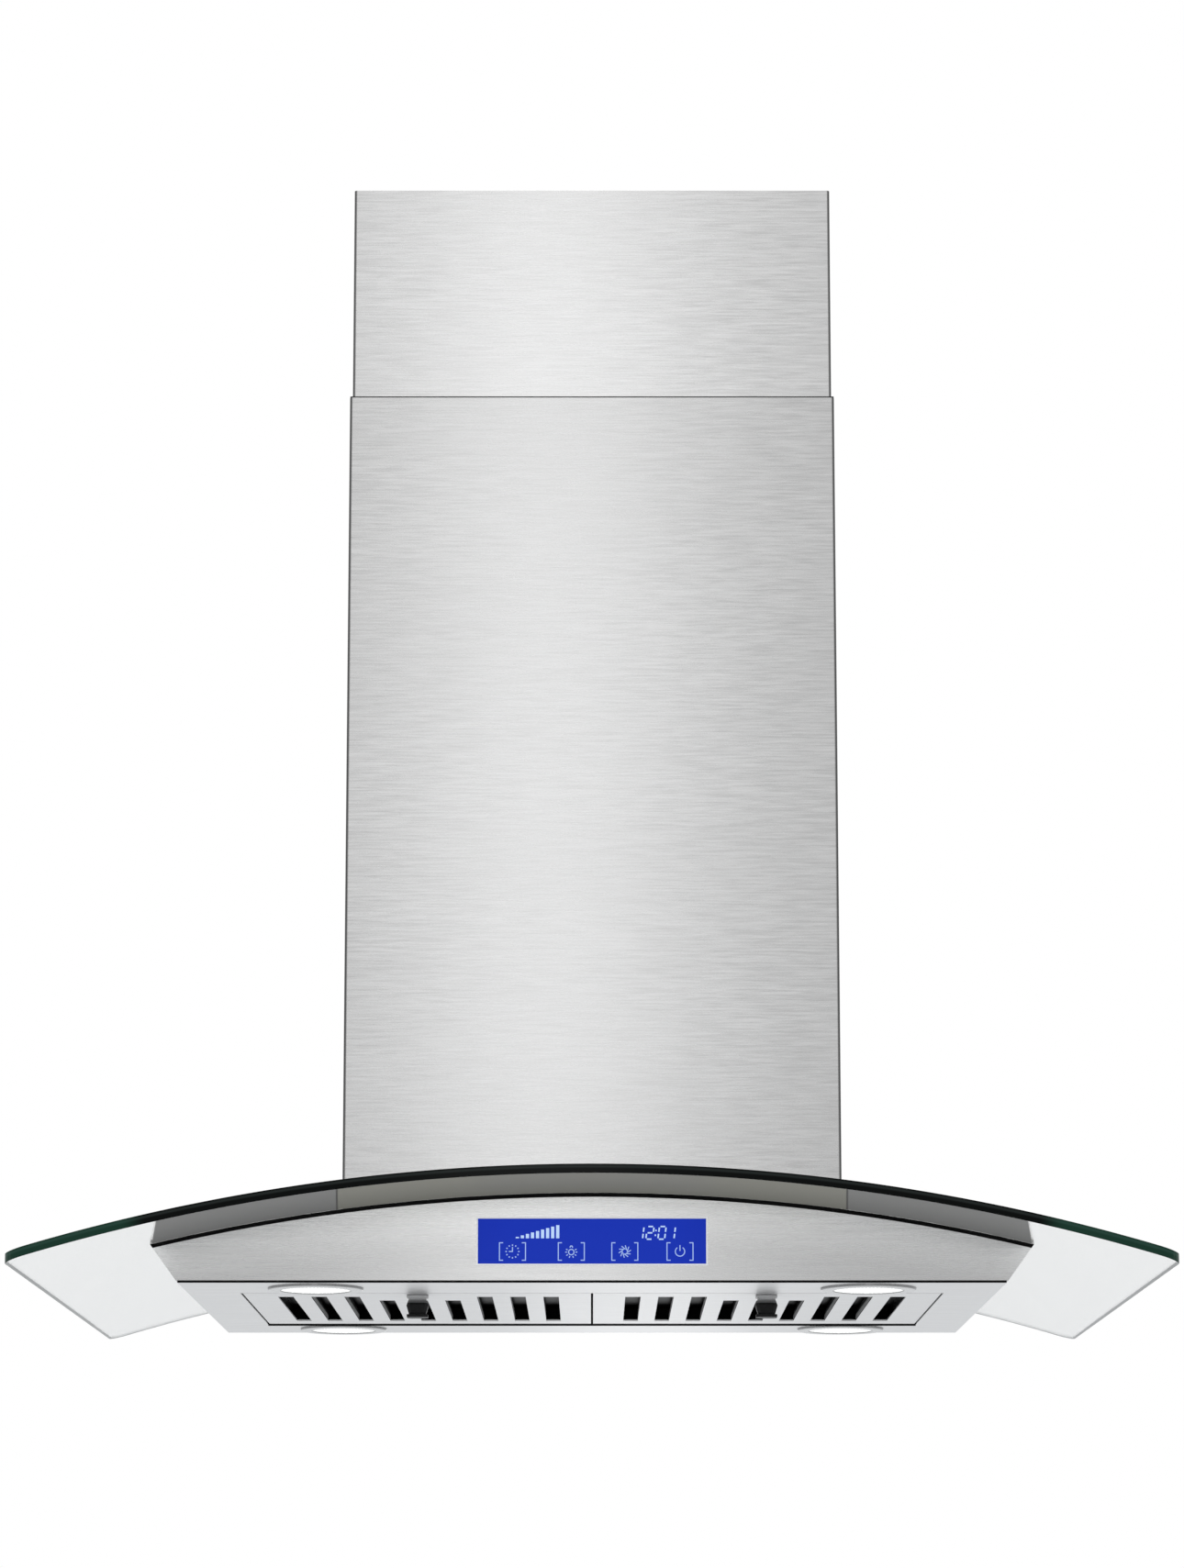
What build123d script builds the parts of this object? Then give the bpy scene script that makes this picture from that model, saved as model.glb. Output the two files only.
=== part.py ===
from build123d import *
import math
import os

os.makedirs("parts", exist_ok=True)

# Island range hood, hung from a ceiling at height zero. X runs to the right, Y to the back, Z up.
# All sizes are in millimetres.

# Heights
hood_height = 777.0
body_height = 60.0
upper_visible = 152.0
upper_overlap = 148.0

# Curved glass canopy
glass_width = 750.0
glass_depth = 600.0
glass_thickness = 6.0
glass_rise = 57.0
glass_corner = 14.0
glass_cutout_clearance = 5.0
glass_cutout_corner = 10.0

# Canopy body under the glass
body_depth = 388.0
body_bottom_width = 548.0
body_side_slant = 36.0
body_sheet = 1.2
gasket_thickness = 2.0
gasket_width = 10.0
gasket_seat_gap = 0.1

# Telescopic chimney
chimney_width = 338.0
chimney_depth = 280.0
chimney_wall = 1.0
chimney_bend = 1.0
telescope_gap = 0.8

# Ceiling plate and hanging frame
plate_thickness = 3.0
plate_clearance = 0.3
plate_rim_height = 24.0
plate_rim_wall = 1.5
plate_bend = 3.0
plate_bolt_inset_x = 60.9
plate_bolt_inset_y = 26.9
plate_bolt_hole_radius = 4.5
plate_border_x = 36.0
plate_border_y = 40.0
plate_opening_corner = 20.0
angle_leg = 25.0
angle_wall = 2.0
angle_overlap = 70.0
angle_hold = 90.0
angle_head_room = 28.0
frame_bolt_radius = 3.0
frame_bolt_spacing = 36.0
frame_bolt_head = 4.0
frame_bolt_reach = 11.0
slot_clearance = 0.3
slot_adjustment = 60.0

# Screws
screw_radius = 2.0
screw_head_radius = 4.0
screw_head = 2.2
screw_reach = 8.0
chimney_screw_spacing = 120.0
leg_screw_spacing = 30.0

# Air box and blower
box_inset = 19.0
box_wall = 1.2
scroll_wall = 1.2
scroll_clearance = 5.5
scroll_step = 8.0
scroll_floor_gap = 20.0
scroll_outlet_rise = 12.0
inlet_space = 88.0
inlet_throat_gap = 4.0
inlet_flange = 14.0
inlet_lip = 6.0
adapter_height = 64.0
impeller_clearance = 8.0
impeller_side_gap = 10.0
blade_count = 36
blade_depth = 14.0
blade_thickness = 1.0
blade_lead = 8.0
blade_bow = 2.4
impeller_ring = 2.0
impeller_ring_depth = 9.0
impeller_disc_inset = 5.0
impeller_disc = 1.2
hub_radius = 12.0
hub_length = 20.0
shaft_radius = 4.0
shaft_clearance = 0.05
motor_radius = 44.0
motor_length = 66.0
motor_gap = 4.0
motor_boss = 4.0
motor_boss_radius = 14.0
motor_edge = 6.0
shaft_tail = 4.0
arm_wall = 2.0
arm_width = 14.0
arm_foot = 6.0
arm_count = 3

# Duct collar and backdraft damper
collar_radius = 75.0
collar_wall = 1.5
collar_length = 60.0
collar_flange_width = 15.0
damper_pin_radius = 1.5
damper_pin_clearance = 0.05
damper_pin_spacing = 10.0
damper_pin_height = 18.0
damper_pin_inset = 1.0
damper_knuckle_radius = 3.0
damper_sheet = 1.2
damper_gap = 0.7
damper_stop = 4.0
damper_stop_gap = 0.3

# Glass clamps
clamp_width = 30.0
clamp_sheet = 2.0
clamp_height = 26.0
clamp_chimney_gap = 3.0
clamp_spacing = 200.0
clamp_pad = 1.5

# Chimney brackets
bracket_width = 40.0
bracket_height = 30.0
bracket_lift = 26.0
bracket_sheet = 1.2

# Lamps
lamp_radius = 32.0
lamp_margin = 4.5
lamp_lens_radius = 23.5
lamp_hole_radius = 28.0
lamp_clearance = 0.2
lamp_proud = 2.0
lamp_lens_recess = 0.6
lamp_spacing = 370.0
lamp_can_height = 12.0
lamp_sink_height = 9.0
lamp_sink_radius = 20.0

# Display and electrics
display_width = 151.0
display_height = 30.0
display_lift = 27.6
display_clearance = 0.2
display_proud = 0.4
display_flange = 3.0
display_back = 1.6
board_gap = 7.0
board_thickness = 1.6
board_post_radius = 2.5
board_post_inset = 6.0
power_box_length = 130.0
power_box_depth = 44.0
power_box_height = 28.0
power_box_wall = 2.0
capacitor_radius = 15.0
capacitor_length = 50.0
capacitor_edge = 2.0
gland_radius = 8.0
gland_bore = 4.5
gland_collar = 11.0
gland_height = 18.0
gland_nut = 6.0
gland_shank = 4.0
gland_inset = 34.0

# Baffle filters
filter_side_margin = 35.5
filter_gap = 1.5
filter_rear_gap = 3.0
filter_height = 14.0
filter_sheet = 1.0
filter_wall = 1.2
filter_lip = 6.0
filter_side_flange = 22.0
filter_end_flange = 25.0
slot_count = 9
slot_width = 10.6
baffle_sheet = 0.8
baffle_height = 7.0
baffle_overlap = 4.0
baffle_upper_low = 5.0
baffle_upper_high = 11.8
hook_bead_radius = 1.5
hook_seat_gap = 0.1
hook_sheet = 1.2
hook_length = 30.0
hook_spacing = 130.0

# Filter latches
latch_travel = 6.0
latch_running_gap = 0.3
latch_setback = 14.0
latch_tab_depth = 27.0
latch_stem_width = 6.0
latch_stem_depth = 8.0
latch_tongue_width = 14.0
latch_tongue_sheet = 1.5
latch_tongue_tail = 8.0
latch_knob_width = 15.0
latch_knob_depth = 14.0
latch_knob_waist = 11.0
latch_knob_height = 13.0
latch_knob_chamfer = 2.0
latch_flange_sheet = 1.4
latch_bulge_width = 14.4
latch_bulge_depth = 13.4
latch_bulge_drop = 6.8
latch_knob_foot = 2.0
latch_spring_width = 20.0
latch_spring_wire = 0.5
latch_spring_height = 3.0
latch_spring_room = 12.0
latch_lug_sheet = 1.2

# Worked-out heights and radii of the curved glass
body_bottom_z = -hood_height
body_floor_z = body_bottom_z + body_sheet
glass_under_z = body_bottom_z + body_height
glass_radius = ((glass_width / 2) ** 2 + glass_rise ** 2) / (2 * glass_rise)
glass_top_radius = glass_radius + glass_thickness
glass_top_z = glass_under_z + glass_thickness
arc_z = glass_under_z - glass_radius
roof_radius = glass_radius - gasket_thickness
roof_under_radius = roof_radius - body_sheet
slant = math.tan(math.radians(body_side_slant))
body_inner_half = body_depth / 2 - body_sheet

# Worked-out plan sizes of the chimney, the frame and the box
upper_width = chimney_width - 2 * chimney_wall - 2 * telescope_gap
upper_depth = chimney_depth - 2 * chimney_wall - 2 * telescope_gap
upper_length = upper_visible + upper_overlap
plate_width = upper_width - 2 * chimney_wall - 2 * plate_clearance
plate_depth = upper_depth - 2 * chimney_wall - 2 * plate_clearance
box_width = chimney_width - 2 * box_inset - 2 * chimney_wall
box_depth = chimney_depth - 2 * box_inset - 2 * chimney_wall
chimney_screw_z = -plate_thickness - plate_rim_height / 2

# Worked-out blower sizes, from the depth of the box
scroll_reach = box_depth / 2 - box_wall - scroll_clearance - scroll_wall
scroll_radius = scroll_reach - 2.5 * scroll_step
impeller_radius = scroll_radius - scroll_step / 2 - impeller_clearance
blade_inner_radius = impeller_radius - blade_depth
scroll_half = box_width / 2 - box_wall - inlet_space
impeller_half = scroll_half - impeller_side_gap
inlet_radius = blade_inner_radius - inlet_throat_gap
blower_z = glass_under_z + scroll_floor_gap + scroll_radius + 1.5 * scroll_step + scroll_wall
scroll_top = scroll_radius - scroll_step / 2 + scroll_outlet_rise
adapter_low_z = blower_z + scroll_top
box_ceiling_z = adapter_low_z + adapter_height
box_top_z = box_ceiling_z + box_wall
collar_bore = collar_radius - collar_wall
collar_top_z = box_top_z + collar_length
damper_z = box_top_z + damper_pin_height
gland_x = gland_inset - box_width / 2
gland_y = box_depth / 2 - gland_inset

# Worked-out heights of the hanging frame
lower_angle_top = collar_top_z + angle_head_room
lower_angle_low = box_top_z - angle_hold
upper_angle_low = lower_angle_top - angle_overlap
frame_bolt_z = lower_angle_top - angle_overlap / 2
leg_screw_z = box_top_z - angle_hold / 2
clamp_reach = box_inset - clamp_chimney_gap
clamp_screw_z = glass_top_z + clamp_pad + clamp_height / 2
lower_angle_x = box_width / 2 + angle_wall
lower_angle_y = box_depth / 2 + angle_wall
upper_angle_x = lower_angle_x + angle_wall
upper_angle_y = lower_angle_y + angle_wall
angle_hole_y = upper_angle_y - angle_leg / 2

# Worked-out filter sizes: the opening is what the lamp strips leave free
lamp_strip = 2 * lamp_radius + 2 * lamp_margin
lamp_y = body_depth / 2 - lamp_strip / 2
opening_width = body_bottom_width - 2 * filter_side_margin
opening_depth = body_depth - 2 * lamp_strip
filter_width = (opening_width - 3 * filter_gap) / 2
filter_depth = opening_depth - filter_gap - filter_rear_gap
filter_x = (filter_width + filter_gap) / 2
filter_front_y = -opening_depth / 2 + filter_gap
filter_back_y = opening_depth / 2 - filter_rear_gap
filter_mid_y = (filter_front_y + filter_back_y) / 2
window_width = filter_width - 2 * filter_side_flange
window_front_y = filter_front_y + filter_end_flange
window_back_y = filter_back_y - filter_end_flange
slot_pitch = (window_width - slot_width) / (slot_count - 1)
baffle_width = slot_pitch - slot_width
tab_width = 2 * slot_pitch + slot_width
tab_back_y = window_front_y + latch_tab_depth
hook_y = opening_depth / 2
hook_z = body_floor_z + hook_seat_gap + hook_bead_radius

# Worked-out latch places
latch_y = filter_front_y + latch_setback
tongue_z = body_bottom_z + filter_sheet + latch_running_gap
tongue_front_y = -opening_depth / 2 + latch_running_gap
tongue_back_y = latch_y + latch_tongue_tail
lug_front_y = tongue_back_y + latch_spring_room


def side_plane(side, x, z):
    """Upright plane on the left (-1) or the right (+1) that faces outwards."""
    return Plane(origin=(side * x, 0, z), x_dir=(0, 1, 0), z_dir=(side, 0, 0))


def end_plane(side, y, z):
    """Upright plane at the front (-1) or the back (+1) that faces outwards."""
    return Plane(origin=(0, side * y, z), x_dir=(1, 0, 0), z_dir=(0, side, 0))


def blower_plane(x):
    """Plane square to the blower's axis, with its origin on that axis."""
    return Plane(origin=(x, 0, blower_z), x_dir=(0, 1, 0), z_dir=(1, 0, 0))


def body_half(z):
    """Half the body's width at a height: the sides slant outwards going up."""
    return body_bottom_width / 2 + (z - body_bottom_z) * slant


def roof_half(radius):
    """Half the body's width where its slanted sides meet an arc of this radius."""
    base = body_bottom_width / 2
    rise = body_bottom_z - arc_z
    square = 1 + slant ** 2
    linear = base * slant + rise
    rest = base ** 2 + rise ** 2 - radius ** 2
    return base + slant * (math.sqrt(linear ** 2 - square * rest) - linear) / square


def body_section(radius):
    """Front outline of the body: slanted sides under an arc that runs with the glass."""
    with BuildSketch() as section:
        with BuildLine():
            Polyline(
                (-body_half(body_floor_z), body_floor_z),
                (body_half(body_floor_z), body_floor_z),
                (body_half(glass_top_z), glass_top_z),
                (-body_half(glass_top_z), glass_top_z),
                close=True,
            )
        make_face()
        with Locations((0, arc_z)):
            Circle(radius, mode=Mode.INTERSECT)
    return section.sketch


def side_section(side):
    """Front outline of one slanted side panel, up to the underside of the roof plate."""
    slope_wall = body_sheet / math.cos(math.radians(body_side_slant))
    with BuildSketch() as section:
        with BuildLine():
            Polyline(
                (side * body_half(body_floor_z), body_floor_z),
                (side * body_half(glass_top_z), glass_top_z),
                (side * (body_half(glass_top_z) - slope_wall), glass_top_z),
                (side * (body_half(body_floor_z) - slope_wall), body_floor_z),
                close=True,
            )
        make_face()
        with Locations((0, arc_z)):
            Circle(roof_under_radius, mode=Mode.INTERSECT)
    return section.sketch


def scroll_outline(grow):
    """Volute of three quarter arcs that step outwards, with a straight outlet upwards."""
    corner = scroll_step / 2
    radius = scroll_radius + grow
    start = math.degrees(math.asin(grow / radius))
    outlet_low = -corner + math.sqrt(radius ** 2 - grow ** 2)
    with BuildSketch() as outline:
        with BuildLine():
            CenterArc((-corner, -corner), radius, 90 + start, 90 - start)
            CenterArc((corner, -corner), radius + scroll_step, 180, 90)
            CenterArc((corner, corner), radius + 2 * scroll_step, 270, 90)
            Polyline(
                (corner + radius + 2 * scroll_step, corner),
                (corner + radius + 2 * scroll_step, scroll_top),
                (-corner - grow, scroll_top),
                (-corner - grow, outlet_low),
            )
        make_face()
    return outline.sketch


def blade_outline():
    """One forward-curved fan blade: a thin arc from the inner to the outer radius."""
    middle = (blade_inner_radius + impeller_radius) / 2
    with BuildSketch() as outline:
        with BuildLine():
            ThreePointArc(
                (blade_inner_radius, 0),
                (middle, blade_bow),
                (impeller_radius - blade_thickness, blade_lead),
            )
        trace(line_width=blade_thickness)
    return outline.sketch


panel_outline = body_section(roof_radius)
gasket_outline = body_section(glass_radius - gasket_seat_gap)
scroll_inside = scroll_outline(0)
scroll_outside = scroll_outline(scroll_wall)
blade = blade_outline()

# Ceiling plate: a flat tray with a turned-down rim, open in the middle for the duct and the supply lead
with BuildPart() as ceiling_plate:
    with BuildSketch(Plane.XY.offset(-plate_thickness)):
        RectangleRounded(plate_width, plate_depth, plate_bend)
        plate_opening_width = plate_width - 2 * plate_border_x
        plate_opening_depth = plate_depth - 2 * plate_border_y
        RectangleRounded(plate_opening_width, plate_opening_depth, plate_opening_corner, mode=Mode.SUBTRACT)
        with GridLocations(plate_width - 2 * plate_bolt_inset_x, plate_depth - 2 * plate_bolt_inset_y, 2, 2):
            Circle(plate_bolt_hole_radius, mode=Mode.SUBTRACT)
    extrude(amount=plate_thickness)
    with BuildSketch(Plane.XY.offset(-plate_thickness)):
        RectangleRounded(plate_width, plate_depth, plate_bend)
        Rectangle(plate_width - 2 * plate_rim_wall, plate_depth - 2 * plate_rim_wall, mode=Mode.SUBTRACT)
    extrude(amount=-plate_rim_height)
    # The slots are open below, so the chimney can drop with its screws slackened
    with BuildSketch(Plane.YZ):
        with GridLocations(chimney_screw_spacing, 0, 2, 1):
            with Locations((0, chimney_screw_z)):
                Circle(screw_radius + slot_clearance)
            with Locations((0, chimney_screw_z - plate_rim_height / 2)):
                Rectangle(2 * (screw_radius + slot_clearance), plate_rim_height)
    extrude(amount=plate_width, both=True, mode=Mode.SUBTRACT)
ceiling_plate.part.label = "ceiling_plate"
export_step(ceiling_plate.part, "parts/ceiling_plate.step")

# Upper angles: four corner posts under the ceiling plate, slotted for height
with BuildPart() as upper_angles:
    with BuildSketch(Plane.XY.offset(upper_angle_low)):
        Rectangle(2 * upper_angle_x, 2 * upper_angle_y)
        Rectangle(2 * lower_angle_x, 2 * lower_angle_y, mode=Mode.SUBTRACT)
        Rectangle(2 * (upper_angle_x - angle_leg), 3 * upper_angle_y, mode=Mode.SUBTRACT)
        Rectangle(3 * upper_angle_x, 2 * (upper_angle_y - angle_leg), mode=Mode.SUBTRACT)
    extrude(amount=-plate_thickness - upper_angle_low)
    with BuildSketch(Plane.YZ):
        with Locations((0, frame_bolt_z)):
            with GridLocations(2 * angle_hole_y, 0, 2, 1):
                SlotCenterToCenter(slot_adjustment - 2 * frame_bolt_radius,
                                   2 * (frame_bolt_radius + slot_clearance), rotation=90)
    extrude(amount=2 * upper_angle_x, both=True, mode=Mode.SUBTRACT)
upper_angles.part.label = "upper_angles"
export_step(upper_angles.part, "parts/upper_angles.step")

# Lower angles: four corner posts that carry the air box
with BuildPart() as lower_angles:
    with BuildSketch(Plane.XY.offset(lower_angle_low)):
        Rectangle(2 * lower_angle_x, 2 * lower_angle_y)
        Rectangle(box_width, box_depth, mode=Mode.SUBTRACT)
        Rectangle(2 * (lower_angle_x - angle_leg), 3 * lower_angle_y, mode=Mode.SUBTRACT)
        Rectangle(3 * lower_angle_x, 2 * (lower_angle_y - angle_leg), mode=Mode.SUBTRACT)
    extrude(amount=lower_angle_top - lower_angle_low)
    with BuildSketch(Plane.YZ):
        with Locations((0, frame_bolt_z)):
            with GridLocations(2 * angle_hole_y, frame_bolt_spacing, 2, 2):
                Circle(frame_bolt_radius)
        with Locations((0, leg_screw_z)):
            with GridLocations(2 * angle_hole_y, leg_screw_spacing, 2, 2):
                Circle(screw_radius)
    extrude(amount=2 * lower_angle_x, both=True, mode=Mode.SUBTRACT)
lower_angles.part.label = "lower_angles"
export_step(lower_angles.part, "parts/lower_angles.step")

# Frame bolts: hexagon heads outside, through the slots of the upper angles
with BuildPart() as frame_bolts:
    for side in (-1, 1):
        with BuildSketch(side_plane(side, upper_angle_x, frame_bolt_z)):
            with GridLocations(2 * angle_hole_y, frame_bolt_spacing, 2, 2):
                RegularPolygon(2 * frame_bolt_radius, 6)
        extrude(amount=frame_bolt_head)
        with BuildSketch(side_plane(side, upper_angle_x, frame_bolt_z)):
            with GridLocations(2 * angle_hole_y, frame_bolt_spacing, 2, 2):
                Circle(frame_bolt_radius)
        extrude(amount=-frame_bolt_reach)
        with BuildSketch(side_plane(side, upper_angle_x - 2 * angle_wall, frame_bolt_z)):
            with GridLocations(2 * angle_hole_y, frame_bolt_spacing, 2, 2):
                RegularPolygon(2 * frame_bolt_radius, 6)
        extrude(amount=-frame_bolt_head)
frame_bolts.part.label = "frame_bolts"
export_step(frame_bolts.part, "parts/frame_bolts.step")

# Leg screws: hold the air box to the lower angles
with BuildPart() as leg_screws:
    for side in (-1, 1):
        with BuildSketch(side_plane(side, lower_angle_x, leg_screw_z)):
            with GridLocations(2 * angle_hole_y, leg_screw_spacing, 2, 2):
                Circle(screw_head_radius)
        extrude(amount=screw_head)
        with BuildSketch(side_plane(side, lower_angle_x, leg_screw_z)):
            with GridLocations(2 * angle_hole_y, leg_screw_spacing, 2, 2):
                Circle(screw_radius)
        extrude(amount=-screw_reach)
leg_screws.part.label = "leg_screws"
export_step(leg_screws.part, "parts/leg_screws.step")

# Upper chimney: a bent sheet tube that telescopes into the lower one
with BuildPart() as upper_chimney:
    with BuildSketch(Plane.XY.offset(-upper_length)):
        RectangleRounded(upper_width, upper_depth, chimney_bend + chimney_wall)
        RectangleRounded(upper_width - 2 * chimney_wall, upper_depth - 2 * chimney_wall,
                         chimney_bend, mode=Mode.SUBTRACT)
    extrude(amount=upper_length)
    with BuildSketch(Plane.YZ):
        with Locations((0, chimney_screw_z)):
            with GridLocations(chimney_screw_spacing, 0, 2, 1):
                Circle(screw_radius)
    extrude(amount=upper_width, both=True, mode=Mode.SUBTRACT)
upper_chimney.part.label = "upper_chimney"
export_step(upper_chimney.part, "parts/upper_chimney.step")

# Chimney screws: on the two sides, into the slots of the ceiling plate
with BuildPart() as chimney_screws:
    for side in (-1, 1):
        with BuildSketch(side_plane(side, upper_width / 2, chimney_screw_z)):
            with GridLocations(chimney_screw_spacing, 0, 2, 1):
                Circle(screw_head_radius)
        extrude(amount=telescope_gap / 2)
        with BuildSketch(side_plane(side, upper_width / 2, chimney_screw_z)):
            with GridLocations(chimney_screw_spacing, 0, 2, 1):
                Circle(screw_radius)
        extrude(amount=-screw_reach)
chimney_screws.part.label = "chimney_screws"
export_step(chimney_screws.part, "parts/chimney_screws.step")

# Lower chimney: a larger tube whose lower edge is cut to the curve of the glass
with BuildPart() as lower_chimney:
    with BuildSketch(Plane.XY.offset(body_bottom_z)):
        RectangleRounded(chimney_width, chimney_depth, chimney_bend + chimney_wall)
        RectangleRounded(chimney_width - 2 * chimney_wall, chimney_depth - 2 * chimney_wall,
                         chimney_bend, mode=Mode.SUBTRACT)
    extrude(amount=-upper_visible - body_bottom_z)
    with BuildSketch(Plane.XZ):
        with Locations((0, arc_z)):
            Circle(glass_top_radius)
    extrude(amount=chimney_depth, both=True, mode=Mode.SUBTRACT)
lower_chimney.part.label = "lower_chimney"
export_step(lower_chimney.part, "parts/lower_chimney.step")

# Chimney brackets: channels that hold the lower chimney off the air box
bracket_x = (box_width / 2 + chimney_width / 2 - chimney_wall) / 2
bracket_z = glass_top_z + bracket_lift
with BuildPart() as chimney_brackets:
    with BuildSketch(Plane.XY.offset(bracket_z)):
        with GridLocations(2 * bracket_x, 0, 2, 1):
            Rectangle(box_inset, bracket_width)
    extrude(amount=bracket_height)
    with BuildSketch(Plane.XY.offset(bracket_z + bracket_sheet)):
        with GridLocations(2 * bracket_x, 0, 2, 1):
            Rectangle(box_inset - 2 * bracket_sheet, 2 * bracket_width)
    extrude(amount=bracket_height, mode=Mode.SUBTRACT)
chimney_brackets.part.label = "chimney_brackets"
export_step(chimney_brackets.part, "parts/chimney_brackets.step")

# Air box, front and rear: sheets that stand on the roof plate and pass through the glass
for name, side in (("front", -1), ("rear", 1)):
    with BuildPart() as box_end:
        with BuildSketch(Plane.XY.offset(body_bottom_z)):
            with Locations((0, side * (box_depth - box_wall) / 2)):
                Rectangle(box_width, box_wall)
        extrude(amount=box_ceiling_z - body_bottom_z)
        with BuildSketch(Plane.XZ):
            with Locations((0, arc_z)):
                Circle(roof_radius)
            with Locations((0, clamp_screw_z)):
                with GridLocations(clamp_spacing, 0, 2, 1):
                    Circle(screw_radius)
        extrude(amount=box_depth, both=True, mode=Mode.SUBTRACT)
    box_end.part.label = f"air_box_{name}"
    export_step(box_end.part, f"parts/air_box_{name}.step")

# Air box, sides: sheets between the front and the rear that the frame is screwed to
for name, side in (("left", -1), ("right", 1)):
    with BuildPart() as box_side:
        with BuildSketch(Plane.XY.offset(body_bottom_z)):
            with Locations((side * (box_width - box_wall) / 2, 0)):
                Rectangle(box_wall, box_depth - 2 * box_wall)
        extrude(amount=box_ceiling_z - body_bottom_z)
        with BuildSketch(Plane.XZ):
            with Locations((0, arc_z)):
                Circle(roof_radius)
        extrude(amount=box_depth, both=True, mode=Mode.SUBTRACT)
        with BuildSketch(Plane.YZ):
            with Locations((0, leg_screw_z)):
                with GridLocations(2 * angle_hole_y, leg_screw_spacing, 2, 2):
                    Circle(screw_radius)
        extrude(amount=box_width, both=True, mode=Mode.SUBTRACT)
    box_side.part.label = f"air_box_{name}"
    export_step(box_side.part, f"parts/air_box_{name}.step")

# Air box, top: a sheet with holes for the air and for the cord gland
with BuildPart() as box_top:
    with BuildSketch(Plane.XY.offset(box_ceiling_z)):
        Rectangle(box_width, box_depth)
        Circle(collar_bore, mode=Mode.SUBTRACT)
        with Locations((gland_x, gland_y)):
            Circle(gland_radius, mode=Mode.SUBTRACT)
    extrude(amount=box_wall)
box_top.part.label = "air_box_top"
export_step(box_top.part, "parts/air_box_top.step")

# Blower housing: a volute that is open at the top and has a round inlet on each side
with BuildPart() as blower_housing:
    with BuildSketch(blower_plane(0)):
        add(scroll_outside)
    extrude(amount=scroll_half + scroll_wall, both=True)
    with BuildSketch(blower_plane(0)):
        add(scroll_inside)
    extrude(amount=scroll_half, both=True, mode=Mode.SUBTRACT)
    with BuildSketch(blower_plane(0)):
        Circle(inlet_radius + scroll_wall)
    extrude(amount=2 * scroll_half, both=True, mode=Mode.SUBTRACT)
blower_housing.part.label = "blower_housing"
export_step(blower_housing.part, "parts/blower_housing.step")

# Inlet rings: turned lips that lead the air into the fan wheel from both sides
with BuildPart() as inlet_rings:
    for side in (-1, 1):
        with BuildSketch(Plane.XZ):
            with BuildLine():
                Polyline(
                    (side * (scroll_half - inlet_lip), blower_z + inlet_radius),
                    (side * (scroll_half + 2 * scroll_wall), blower_z + inlet_radius),
                    (side * (scroll_half + 2 * scroll_wall), blower_z + inlet_radius + inlet_flange),
                    (side * (scroll_half + scroll_wall), blower_z + inlet_radius + inlet_flange),
                    (side * (scroll_half + scroll_wall), blower_z + inlet_radius + scroll_wall),
                    (side * (scroll_half - inlet_lip), blower_z + inlet_radius + scroll_wall),
                    close=True,
                )
            make_face()
    revolve(axis=Axis((0, 0, blower_z), (1, 0, 0)))
inlet_rings.part.label = "inlet_rings"
export_step(inlet_rings.part, "parts/inlet_rings.step")

# Motor: a drum with bevelled ends that sits inside the fan wheel
motor_front_x = -motor_gap - motor_boss
motor_rear_x = motor_front_x - motor_length
with BuildPart() as motor:
    with BuildSketch(blower_plane(motor_rear_x)):
        Circle(motor_radius)
    extrude(amount=motor_length)
    chamfer(motor.edges().filter_by(GeomType.CIRCLE), motor_edge)
    with BuildSketch(blower_plane(motor_front_x)):
        Circle(motor_boss_radius)
    extrude(amount=motor_boss)
    with BuildSketch(blower_plane(motor_rear_x)):
        Circle(shaft_radius + shaft_clearance)
    extrude(amount=motor_length + motor_boss, mode=Mode.SUBTRACT)
motor.part.label = "motor"
export_step(motor.part, "parts/motor.step")

# Motor bracket: a band round the motor with three arms to the side of the housing
arm_outer = inlet_radius + inlet_flange + arm_foot + screw_radius
band_x = motor_rear_x + motor_edge
arm_reach = -scroll_half - scroll_wall - band_x
with BuildPart() as motor_bracket:
    with BuildSketch(blower_plane(band_x)):
        Circle(motor_radius + arm_wall)
        with PolarLocations(0, arm_count, start_angle=90 / arm_count):
            with Locations((arm_outer / 2, 0)):
                Rectangle(arm_outer, arm_width)
        Circle(motor_radius, mode=Mode.SUBTRACT)
    extrude(amount=arm_wall)
    with BuildSketch(blower_plane(band_x)):
        with PolarLocations(arm_outer - arm_foot / 2, arm_count, start_angle=90 / arm_count):
            Rectangle(arm_foot, arm_width)
    extrude(amount=arm_reach)
motor_bracket.part.label = "motor_bracket"
export_step(motor_bracket.part, "parts/motor_bracket.step")

# Fan wheel: a squirrel cage of forward-curved blades between two rings, on a disc and hub
with BuildPart() as impeller:
    with BuildSketch(blower_plane(-impeller_half)):
        with PolarLocations(0, blade_count):
            add(blade)
    extrude(amount=2 * impeller_half)
    for ring_x in (-impeller_half, impeller_half - impeller_ring):
        with BuildSketch(blower_plane(ring_x)):
            Circle(impeller_radius)
            Circle(impeller_radius - impeller_ring_depth, mode=Mode.SUBTRACT)
        extrude(amount=impeller_ring)
    with BuildSketch(blower_plane(0)):
        Circle(impeller_radius - impeller_disc_inset)
    extrude(amount=impeller_disc)
    with BuildSketch(blower_plane(0)):
        Circle(hub_radius)
    extrude(amount=hub_length)
    with BuildSketch(blower_plane(0)):
        Circle(shaft_radius)
    extrude(amount=hub_length, mode=Mode.SUBTRACT)
impeller.part.label = "impeller"
export_step(impeller.part, "parts/impeller.step")

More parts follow.
